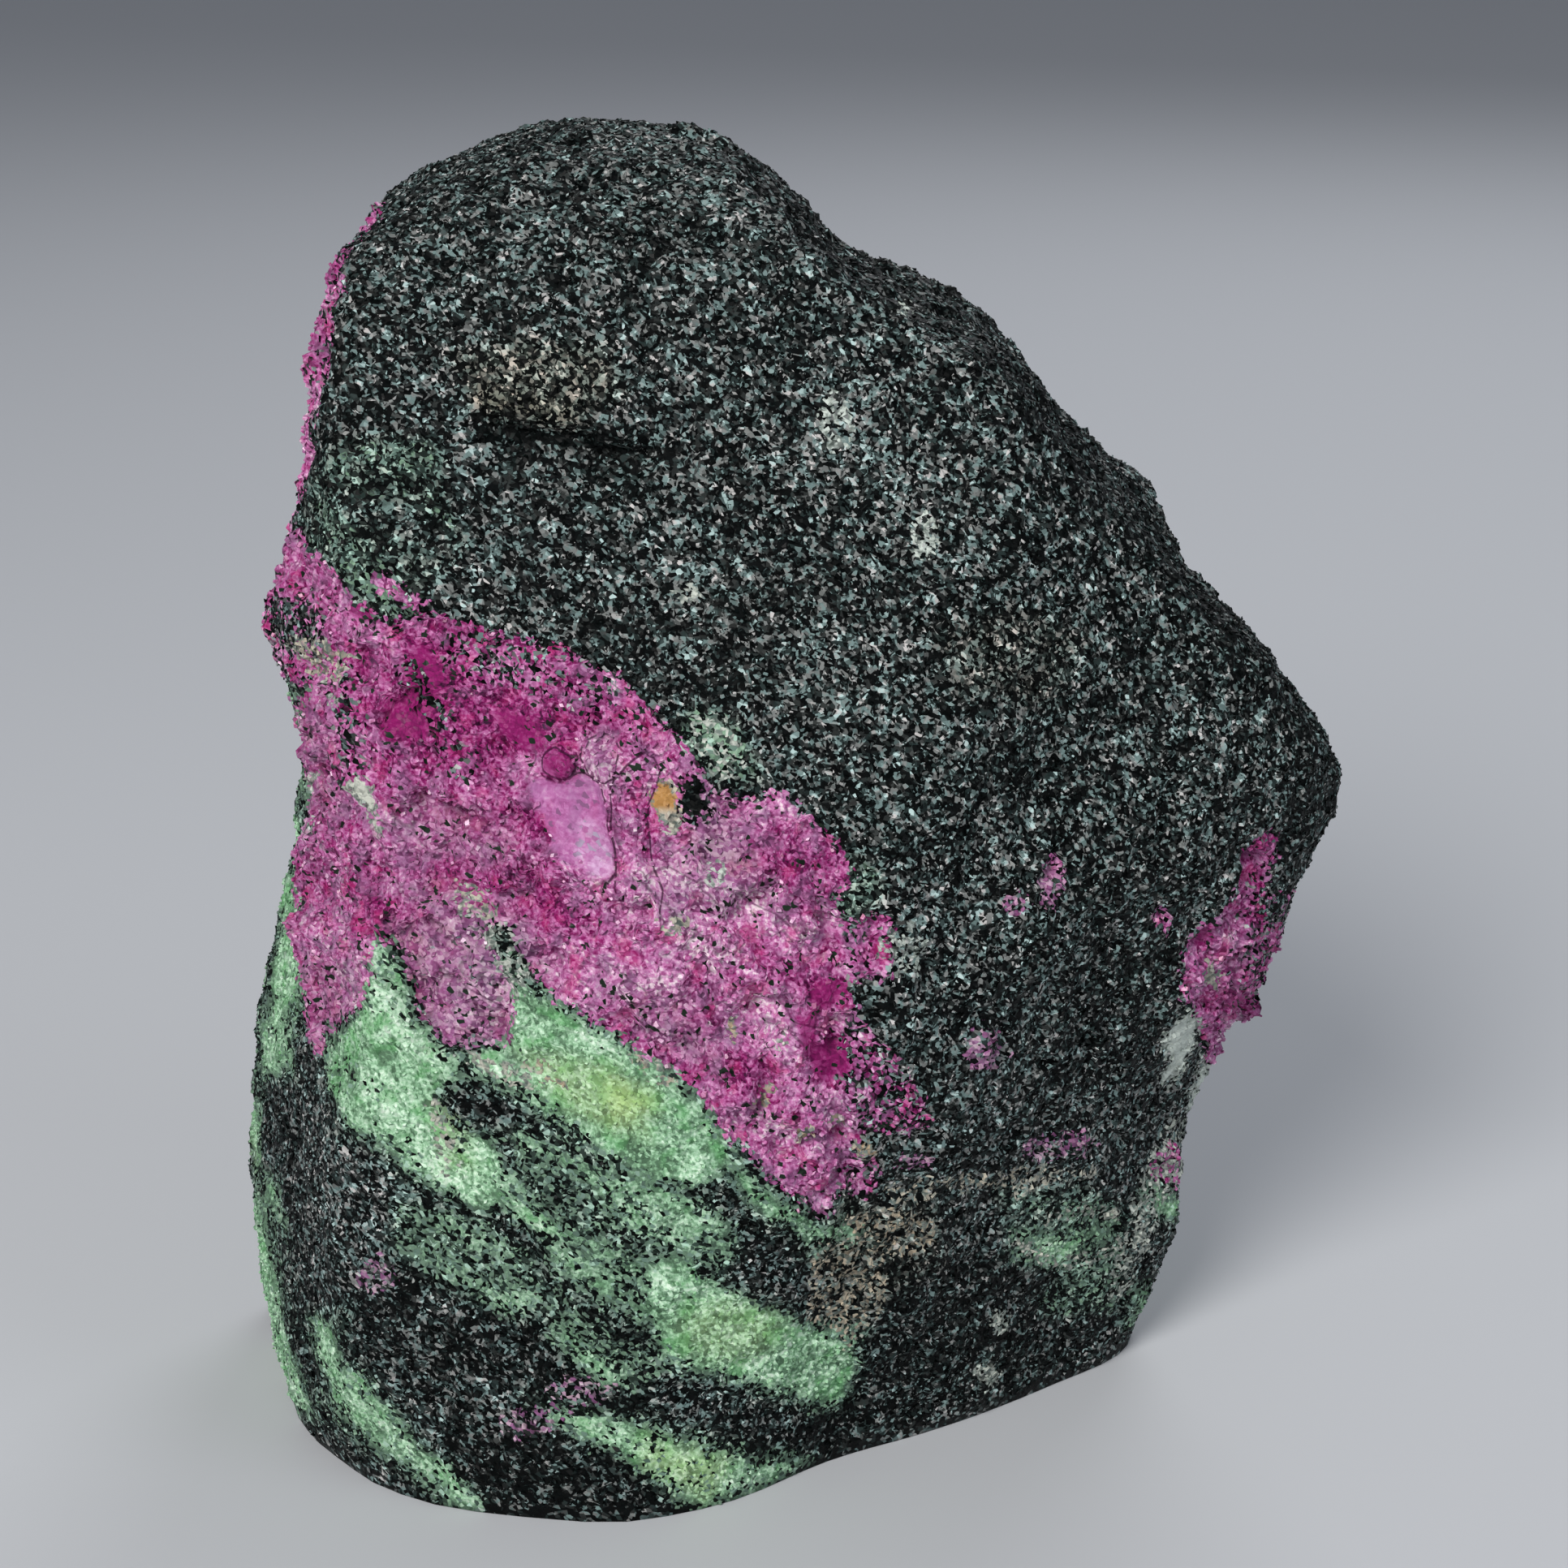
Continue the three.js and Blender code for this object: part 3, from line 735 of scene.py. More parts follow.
def front_rock(points):
    """How far inside each mineral the photograph shows points to be, and how it shows them tinted."""
    pixels = shaken(photo_pixels(points), points, FRONT_WANDER)
    ruby = drawn(FRONT_RUBY, pixels, RUBY_MIXING)
    green = drawn(FRONT_GREEN, pixels)
    black = drawn(FRONT_BLACK, pixels)
    pale = drawn([(share, shape) for share, _, shape in FRONT_PALE], pixels, PALE_MIXING)
    warm = np.zeros(len(points))
    for _, warmth, shape in FRONT_PALE:
        warm = np.where(shape(pixels) > -WARM_MARGIN, warmth, warm)

    streaked = streaks(points, salt=21)
    border = GREEN_BORDER["shift"] + GREEN_BORDER["streaks"] * streaked
    green = green - border * (1 - ease(green, *GREEN_BORDER["up_to"]))
    limit = GREEN_LIMIT["level"] - GREEN_LIMIT["streaks"] * streaked
    limit = limit + GREEN_LIMIT["thick"] * ease(green, *GREEN_LIMIT["thick_from"])
    rock = {name: shape(pixels) * PIXEL for name, shape in SMOOTH_PARTS.items()}
    rock["ruby"] = np.maximum(np.minimum(ruby, -black * RUBY_MIXING / MIXING), rock["plate"])
    rock["green"] = np.minimum(green, np.maximum(-black, limit))
    # No spot lies on the plate.
    rock["pale"] = np.minimum(pale, 4 - 8 * ease(rock["plate"], 0, 0.3))
    rock["warm"] = warm
    rock["frost"] = ease(PLATE_CORNER(pixels), 0, FROST_FADE)
    rock["cracked"] = ease(CRACKED(pixels), 0, CRACKS_FADE)
    for name, (zones, softness) in FRONT_TINTS.items():
        rock[name] = tinted(zones, pixels, softness)
    return rock


def back_rock(points):
    """The same for the sides that the photograph doesn't show."""
    bent = shaken(points, points, BACK_WANDER)
    ruby = lenses(BACK_RUBY, bent, RUBY_MIXING)
    dark_rock = bent[:, 0] * math.sin(LAYER_DIP) + bent[:, 2] * math.cos(LAYER_DIP) - BACK_CONTACT
    bands = BACK_STREAKS["strength"] * streaks(bent, salt=31) - BACK_STREAKS["cut"]
    black = np.maximum(dark_rock, np.maximum(lenses(BACK_BLACK, bent), bands))
    rock = {name: FAR_OUTSIDE for name in SMOOTH_PARTS}
    rock["ruby"] = ruby
    rock["green"] = np.minimum(-black, -ruby - BACK_RIM)
    rock["pale"] = BACK_SPOTS["strength"] * noise(points, 4, salt=36) - BACK_SPOTS["cut"]
    rock["warm"] = BACK_WARMTH
    rock["rich"] = BACK_RICHNESS * noise(points, 5, salt=38)
    for name, (amount, wavelength, salt, limits) in BACK_PATCHES.items():
        rock[name] = amount * ease(noise(points, wavelength, salt), *limits)
    return rock


def minerals(points):
    """For points on the skin, how far inside each mineral they are and how they are tinted."""
    side = ease(points[:, 0], *LEFT_SIDE)
    reach = FRONT_REACH["left"] + side * (FRONT_REACH["right"] - FRONT_REACH["left"])
    reach = reach + REACH_WANDER * noise(points, 7, salt=37)
    rear = ease(points[:, 1], reach - FRONT_FADE / 2, reach + FRONT_FADE / 2)
    back = back_rock(points)
    kinds = {
        name: values * (1 - rear) + back.get(name, 0.0) * rear for name, values in front_rock(points).items()
    }
    kinds["shade"] += UNEVENNESS * noise(points, 8, salt=41)
    return kinds


def brow_step(points):
    """The broken edge of the brow: the rock above it hangs over, and the rock below it has flaked away."""
    pixels = photo_pixels(points)
    line = np.array(BROW_LINE, float)
    height = np.interp(pixels[:, 0], line[:, 0], line[:, 1])
    below = (pixels[:, 1] - height) * PIXEL
    middle = (line[0, 0] + line[-1, 0]) / 2
    half = (line[-1, 0] - line[0, 0]) / 2
    near = ease(BROW_STEP["past"] - np.abs(pixels[:, 0] - middle) / half, 0, BROW_STEP["fade"])
    near = near * (1 - ease(points[:, 1], *BROW_STEP["depths"]))
    over = BROW_STEP["over"] * np.exp(-np.maximum(0, -below) / BROW_STEP["reach"]) * (below <= 0)
    under = BROW_STEP["under"] * np.exp(-np.maximum(0, below) / BROW_STEP["reach"]) * (below > 0)
    return near * (over - under)


def relief(points, kinds):
    """How far the skin stands out from the lump's main shape."""
    in_ruby = ease(kinds["ruby"], -FACET_BORDER, FACET_BORDER)
    in_green = ease(kinds["green"], -FACET_BORDER, FACET_BORDER) * (1 - in_ruby)
    shares = {"black": 1 - in_ruby - in_green, "ruby": in_ruby, "green": in_green}
    height = sum(size * noise(points, wavelength, salt=51) for wavelength, size in LUMPINESS)
    rough = np.zeros(len(points))
    for number, (mineral, layers) in enumerate(FACETS.items()):
        for size, slope in layers:
            # Each lot of facets has a salt of its own.
            salt = 60 + 20 * number + int(size * 3)
            rough += shares[mineral] * broken(points, size, slope, salt)
    on_plate = ease(kinds["plate"], *STEP_LEVELS["plate"])
    height += rough * (1 - PLATE_SMOOTHNESS * on_plate)
    height -= RUBY_STEP * ease(kinds["ruby"], *STEP_LEVELS["ruby"])
    height += BEAD_SWELL * ease(kinds["bead"], *STEP_LEVELS["bead"]) - PLATE_SINK * on_plate
    return height + brow_step(points)


def smoothed(points, edges, steps, held):
    """Moves every point part of the way to the mean of its neighbours, some steps in a row."""
    count = np.bincount(edges.ravel(), minlength=len(points))[:, None]
    for _ in range(steps):
        total = np.zeros_like(points)
        for axis in range(3):
            total[:, axis] += np.bincount(edges[:, 0], points[edges[:, 1], axis], len(points))
            total[:, axis] += np.bincount(edges[:, 1], points[edges[:, 0], axis], len(points))
        moved = points + 0.5 * (total / count - points)
        moved[held] = points[held]
        points = moved
    return points


def rows_of(items, name, width, kind=np.float32):
    """One property of all vertices, edges or faces of a mesh, a row for each."""
    flat = np.empty(len(items) * width, kind)
    items.foreach_get(name, flat)
    return flat.reshape(-1, width)


def mesh_points(mesh):
    return rows_of(mesh.vertices, "co", 3).astype(float)


def face_corners(mesh):
    """The vertex at each face corner, and the face that it belongs to."""
    vertex = rows_of(mesh.loops, "vertex_index", 1, np.int32)[:, 0]
    count = rows_of(mesh.polygons, "loop_total", 1, np.int32)[:, 0]
    return vertex, np.repeat(np.arange(len(count)), count)


def store(mesh, name, values):
    """Keeps a value for each point, which the finishes and the grains read."""
    layer = mesh.attributes.new(name, "FLOAT", "POINT")
    layer.data.foreach_set("value", np.asarray(values, np.float32))


# The skin's chart, in its own millimetres: how wide it is, the margin at each part's corner, and for each
# of the stone's six sides the way it faces, the axes across and up the chart, its corner there and its
# scale.
CHART_SIDE = 206.0
CHART_MARGIN = 1
CHARTS = [
    ((0, -1, 0), (0, 2), (0, 0), 1.0),
    ((0, 1, 0), (0, 2), (89, 0), 1.0),
    ((-1, 0, 0), (1, 2), (0, 102), 1.0),
    ((1, 0, 0), (1, 2), (59, 102), 1.0),
    ((0, 0, 1), (1, 0), (118, 102), 1.0),
    ((0, 0, -1), (1, 0), (177, 102), 0.45),
]
# How much of its part of the tile a grain's face fills, from the middle to a corner.
TILE_FILL = 0.44


def unwrap_skin(mesh, points, normals):
    """Lays the skin out side by side, each side as it is seen from straight ahead."""
    vertex, face = face_corners(mesh)
    count = np.bincount(face)[:, None]
    facing = np.stack([np.bincount(face, normals[vertex, axis]) for axis in range(3)], axis=1) / count
    side = np.argmax(facing @ np.array([direction for direction, *_ in CHARTS], float).T, axis=1)[face]
    chart = np.zeros((len(vertex), 2))
    for number, (_, axes, corner, scale) in enumerate(CHARTS):
        on_side = side == number
        flat = points[vertex[on_side]][:, axes] - LOW[list(axes)]
        chart[on_side] = (flat * scale + corner + CHART_MARGIN) / CHART_SIDE
    layer = mesh.uv_layers.new(name="OFBake")
    layer.data.foreach_set("uv", chart.ravel().astype(np.float32))


def unwrap_grains(mesh, faces_each):
    """Gives each grain a tile of its own, and each of its faces a part of the tile."""
    vertex, face = face_corners(mesh)
    starts = np.r_[True, face[1:] != face[:-1]]
    first = np.flatnonzero(starts)
    count = np.bincount(face)
    corner = np.arange(len(vertex)) - first[face]
    grains = len(count) // faces_each
    tiles = math.ceil(math.sqrt(grains))
    columns = math.ceil(math.sqrt(faces_each))
    rows = math.ceil(faces_each / columns)
    grain, part = np.divmod(face, faces_each)
    angle = 2 * math.pi * (corner + 0.5) / count[face]
    u = (grain % tiles + (part % columns + 0.5 + TILE_FILL * np.cos(angle)) / columns) / tiles
    v = (grain // tiles + (part // columns + 0.5 + TILE_FILL * np.sin(angle)) / rows) / tiles
    layer = mesh.uv_layers.new(name="OFBake")
    layer.data.foreach_set("uv", np.stack([u, v], axis=1).ravel().astype(np.float32))


def fine_lump():
    """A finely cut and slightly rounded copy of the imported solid, as a mesh in metres."""
    mesh = LUMP.data.copy()
    cutter = bmesh.new()
    cutter.from_mesh(mesh)
    bmesh.ops.remove_doubles(cutter, verts=cutter.verts, dist=TOUCHING)
    bmesh.ops.subdivide_edges(cutter, edges=cutter.edges, cuts=SKIN_CUTS, use_grid_fill=True)
    bmesh.ops.triangulate(cutter, faces=[f for f in cutter.faces if len(f.verts) > 3])
    cutter.to_mesh(mesh)
    cutter.free()
    points = mesh_points(mesh)
    grounded = points[:, 2] < TOUCHING
    edges = rows_of(mesh.edges, "vertices", 2, np.int32)
    points = smoothed(points, edges, SMOOTHING_STEPS, grounded)
    mesh.vertices.foreach_set("co", points.ravel().astype(np.float32))
    mesh.update()
    return mesh, grounded


def grain_shares(points, kinds):
    """How densely each mineral's grains stand at points on the skin."""
    jitter = sum(noise(points, size, salt) for size, salt in JITTER["noises"])
    jitter = 0.5 * MIXING * jitter * JITTER["strength"]
    bare = ease(kinds["pale"], *SPOT_HEART) * SPOT_BARE
    rough = (1 - ease(kinds["plate"], *PLATE_BARE)) * (1 - bare)
    ruby = ease(kinds["ruby"] + jitter * RUBY_MIXING / MIXING, -GRAIN_BORDER, GRAIN_BORDER)
    green = ease(kinds["green"] - jitter, -GRAIN_BORDER, GRAIN_BORDER) * (1 - ruby)
    clear = ease(points[:, 2], *GRAINS_FROM)
    crushed = 1 - CLEAR_RUBY["bare"] * ease(kinds["rich"], *CLEAR_RUBY["rich_from"])
    return {
        "black_grains": (1 - ruby - green) * clear * rough,
        "ruby_grains": ruby * clear * rough * crushed,
        "green_grains": green * clear,
    }


def make_skin():
    """The stone's skin as a mesh, broken, laid out and with each mineral's place in its attributes."""
    mesh, grounded = fine_lump()
    mesh.name = "stone_skin"
    mesh.materials.clear()
    for layer in list(mesh.uv_layers):
        mesh.uv_layers.remove(layer)
    points = mesh_points(mesh) / MM
    normals = rows_of(mesh.vertex_normals, "vector", 3).astype(float)
    kinds = minerals(points)
    above = ease(points[:, 2], 0, BROKEN_FROM) * ~grounded
    moved = points + normals * (relief(points, kinds) * above)[:, None]
    moved[~grounded, 2] = np.maximum(moved[~grounded, 2], LOWEST)
    unwrap_skin(mesh, points, normals)
    mesh.vertices.foreach_set("co", (moved * MM).ravel().astype(np.float32))
    for name, values in {**kinds, **grain_shares(points, kinds)}.items():
        store(mesh, name, values)
    mesh.update()
    mesh.shade_smooth()
    return mesh


class Term:
    """A socket of a node tree. Sums on it add nodes to the tree."""

    def __init__(self, tree, socket):
        self.tree = tree
        self.socket = socket

    def maths(self, operation, *values):
        return self.tree.node("ShaderNodeMath", {"operation": operation}, dict(enumerate(values)))[0]

    def __add__(self, other):
        return self.maths("ADD", self, other)

    def __sub__(self, other):
        return self.maths("SUBTRACT", self, other)

    def __rsub__(self, other):
        return self.maths("SUBTRACT", other, self)

    def __mul__(self, other):
        return self.maths("MULTIPLY", self, other)

    __radd__ = __add__
    __rmul__ = __mul__

    def most(self, other):
        return self.maths("MAXIMUM", self, other)


class Node:
    """A node whose outputs are found by name or number."""

    def __init__(self, tree, node):
        self.tree = tree
        self.node = node

    def __getitem__(self, key):
        return Term(self.tree, find_socket(self.node.outputs, key))


def find_socket(sockets, key):
    """The socket of this number, name or identifier. Of several, the one that is in use."""
    if isinstance(key, int):
        return sockets[key]
    named = [socket for socket in sockets if key in (socket.name, socket.identifier)]
    usable = [socket for socket in named if socket.enabled]
    return (usable or named)[0]


class Tree:
    """Adds nodes to a node tree."""

    def __init__(self, tree):
        self.tree = tree

    def node(self, kind, settings=None, sockets=None):
        """A new node of this kind, with its settings and the values or links of its sockets."""
        node = self.tree.nodes.new(kind)
        for name, value in (settings or {}).items():
            if name == "stops":
                set_stops(node.color_ramp, value)
            else:
                setattr(node, name, value)
        for key, value in (sockets or {}).items():
            socket = find_socket(node.inputs, key)
            if isinstance(value, Term):
                self.tree.links.new(value.socket, socket)
            elif isinstance(value, tuple) and len(value) < len(getattr(socket, "default_value", value)):
                socket.default_value = (*value, 1)
            else:
                socket.default_value = value
        return Node(self, node)


def set_stops(ramp, stops):
    """Gives a colour ramp these positions and colours."""
    while len(ramp.elements) < len(stops):
        ramp.elements.new(1)
    for element, (position, shade) in zip(ramp.elements, stops):
        element.position = position
        element.color = (*shade, 1)


class Finish(Tree):
    """A material and the nodes that it is made of."""

    def __init__(self, name):
        self.material = bpy.data.materials.new(name)
        self.material.use_nodes = True
        super().__init__(self.material.node_tree)
        self.tree.nodes.clear()
        self.place = self.node("ShaderNodeTexCoord")["Object"]
        self.layers = {}

    def attribute(self, name):
        return self.node("ShaderNodeAttribute", {"attribute_name": name})["Fac"]

    def cells(self, size, vector=None):
        """Cells of about this size, each with a colour of its own."""
        return self.node("ShaderNodeTexVoronoi", {}, {"Vector": vector or self.place, "Scale": 1 / size})

    def facets(self, cell, vector=None):
        """The height of a flat facet in each of these cells, tilted its own way."""
        away = self.vector("SUBTRACT", vector or self.place, cell["Position"])
        tilt = self.vector("SUBTRACT", cell["Color"], (0.5, 0.5, 0.5))
        return self.vector("DOT_PRODUCT", away, tilt, output="Value")

    def blur(self, size, detail=2.0, vector=None):
        """Smooth noise from 0 to 1."""
        sockets = {"Vector": vector or self.place, "Scale": 1 / size, "Detail": detail}
        return self.node("ShaderNodeTexNoise", {}, sockets)["Fac"]

    def vector(self, operation, first, second, output="Vector"):
        return self.node("ShaderNodeVectorMath", {"operation": operation}, {0: first, 1: second})[output]

    def channels(self, shade):
        """The red, green and blue of a colour, as three numbers."""
        parts = self.node("ShaderNodeSeparateColor", {}, {"Color": shade})
        return parts["Red"], parts["Green"], parts["Blue"]

    def ease(self, value, start, end):
        """0 below start and 1 above end, eased between them."""
        sockets = {"Value": value, "From Min": start, "From Max": end}
        return self.node("ShaderNodeMapRange", {"interpolation_type": "SMOOTHSTEP"}, sockets)["Result"]

    def within(self, level):
        """1 inside a zone and 0 outside it, with a narrow border."""
        return self.ease(level, -GRAIN_EDGE, GRAIN_EDGE)

    def mix(self, share, first, second, blend="MIX"):
        settings = {"data_type": "RGBA", "blend_type": blend}
        return self.node("ShaderNodeMix", settings, {"Factor": share, "A": first, "B": second})["Result"]

    def ramp(self, value, *stops):
        return self.node("ShaderNodeValToRGB", {"stops": stops}, {"Fac": value})["Color"]

    def tint(self, shade, share, colours, name):
        """The shade, tinted with the colour of this name, in full where share is 1."""
        return self.mix(share * TINTS[name], shade, tuple(getattr(colours, name)))

    def tone(self, mineral, pick, cloud, kind):
        """A mineral's tone, from 0 for its darkest shade to 1 for its lightest."""
        weights = TONES[mineral]
        speck = self.blur(SPECK_SIZES[mineral] * MM)
        tone = pick * weights["pick"] + (cloud - 0.5) * weights["cloud"] + (speck - 0.5) * weights["speck"]
        return tone + kind * weights["kind"] + weights["base"]

    def layered(self, flatness=None):
        """The place, drawn out along the rock's layers."""
        flatness = flatness or FLATNESS
        if flatness not in self.layers:
            turned = self.node("ShaderNodeVectorRotate", {"rotation_type": "Y_AXIS"}, {
                "Vector": self.place, "Angle": -LAYER_DIP,
            })["Vector"]
            self.layers[flatness] = self.vector("MULTIPLY", turned, (flatness, 1.0, 1.0))
        return self.layers[flatness]

    def surface(self, shade, roughness, height, constants=None):
        """Ends the material in a shader of this colour and roughness, and of this height if any."""
        sockets = {"Base Color": shade, "Roughness": roughness, **(constants or {})}
        if height is not None:
            sockets["Normal"] = self.node("ShaderNodeBump", {}, {
                "Height": height, "Distance": 1.0, "Strength": 1.0,
            })["Normal"]
        shader = self.node("ShaderNodeBsdfPrincipled", {}, sockets)
        self.node("ShaderNodeOutputMaterial", {}, {"Surface": shader["BSDF"]})
        return self.material


# The sizes of the patterns in the finishes, in millimetres: clouds, patches of one hue, specks, and cells:
# the skin's fine and coarse ones, those inside a grain, and those that dark veins part in the ruby.
CLOUD_SIZES = {"ruby": 3.6, "green": 2.6, "skin": 2.2}
HUE_SIZES = {"black": 0.7, "ruby": 1.7, "green": 1.9}
SPECK_SIZES = {"ruby": 0.28, "green": 0.3, "pale": 0.4}
CELL_SIZES = {"fine": 0.3, "coarse": 1.0, "grain": 0.26, "vein": 2.6}
# How much of the skin's pick comes from its fine and coarse cells, and of a grain's from the whole grain
# and from the cells in it.
PICKS = {"fine": 0.65, "coarse": 0.35, "grain": 0.4, "cell": 0.6}
# How much patterns are drawn out along the layers, in the minerals and in the skin's fine cells.
FLATNESS = 0.42
SKIN_FLATNESS = 0.7
# How a tone is made up: of each grain's pick, the clouds, the specks, and how rich the ruby or how pure the
# green is, over a base.
TONES = {
    "ruby": {"pick": 0.5, "cloud": 1.25, "speck": 1.1, "kind": -0.25, "base": 0.34},
    "green": {"pick": 0.45, "cloud": 1.0, "speck": 1.1, "kind": 0.22, "base": 0.17},
}
# How strong each tint is where it is full.
TINTS = {
    "green_wash": 0.9, "rust": 0.55, "ruby_mauve": 0.6, "ruby_red": 0.45, "ruby_black": 0.55,
    "green_clear": 0.6, "green_grey": 0.5, "yellow": 0.45,
}
# How strong the grey of the mauve ruby is where it is full.
GREYED = 0.5
# How the place's shade moves the amphibole's tone: by how much in all, and between which shades. The shade is
# partly the rock's own lighter and darker patches and partly painted shade. The second one is for the
# blackest
# places: the black pit and the painted shadow line under the brow.
SHADED = {"amount": 0.26, "shades": (-1.2, 1.2)}
BLACKEST = {"amount": 0.45, "shades": (-2.6, -1.3)}
# Amphibole beside the zoisite: how far outside the green it starts and ends, and how much lighter it is.
NEAR_GREEN = {"levels": (-1.8, 0.3), "lighter": 0.06}
# Where the ruby is deep and clear, its tone there and how far it keeps to it. Then where it gets too rich
# for the mauve and red tints.
DEEP_RUBY = {"rich": (0.5, 1.0), "tone": 0.34, "share": 0.7}
TOO_RICH = (0.3, 0.9)
# How sharp a border between two grains is, in millimetres.
GRAIN_EDGE = 0.06
# How far the skin's larger patches move the borders of the ruby and its plate, the green and the cracks.
PATCHINESS = {"ruby": 0.5, "green": 1.6, "cracks": 0.3}
# The skin's roughness: the black rock's, how it differs in the green and the ruby, and from grain to grain.
ROUGHNESS = {"black": 0.46, "green": 0.1, "ruby": -0.14, "pick": 0.16}
# How strongly the skin's fine and coarse cells are tilted, and how much more the coarse ones in the ruby.
CELL_TILTS = {"fine": 1.3, "coarse": 0.3, "ruby": 0.5}
# How much of the facets the plate and the clear ruby lose. Then how much of the ruby the plate's finish
# covers, and how much of the ruby's mottling is left in it.
PLATE_CALM = 0.94
CLEAR_CALM = 0.6
PLATE_COVER = 0.92
PLATE_MOTTLING = 0.4
# How far from a smooth part's edge a crack is dark and ends, and how dark it is.
CRACK_WIDTH = (0.04, 0.11)
CRACK_DARKNESS = 0.85
# How rough each mineral's glossiest grains are and how much they mirror. Then how much rougher the dullest
# grains are, and how much the skin mirrors.
GLOSS = {"amphibole": (0.3, 0.06), "ruby": (0.2, 0.35), "zoisite": (0.35, 0.2)}
GLOSS_RANGE = 0.25
SKIN_MIRRORING = 0.08


def black_shades(finish, pick, colours):
    """Amphibole's shades, from black to a light fleck, partly a painted glint, as pick goes from 0 to 1."""
    # The place's shade: its own patches, and painted shade on the front's right edge, low parts and brow.
    depth = finish.attribute("shade")
    shaded = finish.ease(depth, *SHADED["shades"]) * SHADED["amount"]
    lightness = shaded + finish.ease(depth, *BLACKEST["shades"]) * BLACKEST["amount"] - BLACKEST["amount"]
    near_green = finish.ease(finish.attribute("green"), *NEAR_GREEN["levels"])
    tone = pick + lightness + near_green * NEAR_GREEN["lighter"] - SHADED["amount"] / 2
    shade = finish.ramp(
        tone, (0.0, colours.black), (0.45, colours.black), (0.53, colours.black_mid),
        (0.61, colours.black_mid), (0.7, colours.black_grey_and_glint), (0.82, colours.black_grey_and_glint),
        (0.94, colours.black_fleck_and_glint),
    )
    hue = finish.ease(finish.blur(HUE_SIZES["black"] * MM), 0.42, 0.58)
    tint = finish.mix(hue, tuple(colours.cool), tuple(colours.warm))
    tint = finish.tint(tint, near_green, colours, "green_wash")
    tint = finish.tint(tint, finish.attribute("brown"), colours, "rust")
    return finish.mix(1.0, shade, tint, "MULTIPLY")


def ruby_shades(finish, pick, colours):
    """Ruby's shades, mottled along the rock's layers, from deep to whitish, with fine veins."""
    cloud = finish.blur(CLOUD_SIZES["ruby"] * MM, 4.0, finish.layered())
    hue = finish.blur(HUE_SIZES["ruby"] * MM, 3.0)
    rich = finish.attribute("rich")
    deep = finish.ease(rich, *DEEP_RUBY["rich"])
    dull = 1 - finish.ease(rich, *TOO_RICH)
    tone = finish.tone("ruby", pick, cloud, rich)
    tone = tone + (DEEP_RUBY["tone"] - tone) * deep * DEEP_RUBY["share"]
    shade = finish.ramp(
        tone, (0.0, colours.ruby_black), (0.13, colours.ruby_dark), (0.3, colours.ruby_deep),
        (0.5, colours.ruby), (0.68, colours.ruby_pale), (0.88, colours.ruby_white), (1.0, colours.ruby_frost),
    )
    shade = finish.tint(shade, finish.ease(hue, 0.5, 0.68) * dull, colours, "ruby_mauve")
    shade = finish.tint(shade, (1 - finish.ease(hue, 0.32, 0.46)) * dull, colours, "ruby_red")
    greyed = finish.mix(finish.ease(pick, 0.3, 0.75), tuple(colours.ruby_mauve), tuple(colours.ruby_grey))
    shade = finish.mix(finish.attribute("grey") * GREYED, shade, greyed)
    edge = finish.node("ShaderNodeTexVoronoi", {"feature": "DISTANCE_TO_EDGE"}, {
        "Vector": finish.layered(), "Scale": 1 / (CELL_SIZES["vein"] * MM),
    })["Distance"]
    vein = (1 - finish.ease(edge, 0.01, 0.04)) * finish.ease(cloud, 0.45, 0.6)
    return finish.tint(shade, vein, colours, "ruby_black")


def green_shades(finish, pick, colours):
    """Zoisite's shades, sugary, with darker flecks. Among black grains it is darker."""
    cloud = finish.blur(CLOUD_SIZES["green"] * MM, 3.0, finish.layered())
    hue = finish.blur(HUE_SIZES["green"] * MM)
    pure = finish.ease(finish.attribute("green"), -0.2, 0.8)
    tone = finish.tone("green", pick, cloud, pure)
    shade = finish.ramp(
        tone, (0.0, colours.green_black), (0.1, colours.green_dark), (0.34, colours.green_dark),
        (0.54, colours.green), (0.76, colours.green_light), (1.0, colours.green_white),
    )
    shade = finish.tint(shade, finish.ease(hue, 0.5, 0.66) * pure, colours, "green_clear")
    shade = finish.tint(shade, 1 - pure, colours, "green_grey")
    return finish.tint(shade, finish.attribute("yellow"), colours, "yellow")


def pale_over(finish, shade, pick, colours):
    """White and ochre spots over another mineral, grain by grain."""
    white = finish.mix(finish.attribute("warm"), tuple(colours.white), tuple(colours.ochre))
    even = finish.ease(finish.attribute("pale"), *SPOT_HEART) * 0.5
    speckle = finish.ease(finish.blur(SPECK_SIZES["pale"] * MM) + even, 0.35, 0.62)
    speckled = finish.mix(speckle, tuple(colours.white_shade), white)
    is_pale = finish.within(finish.attribute("pale") + (pick - 0.5) * PALE_MIXING)
    return finish.mix(is_pale, shade, speckled)


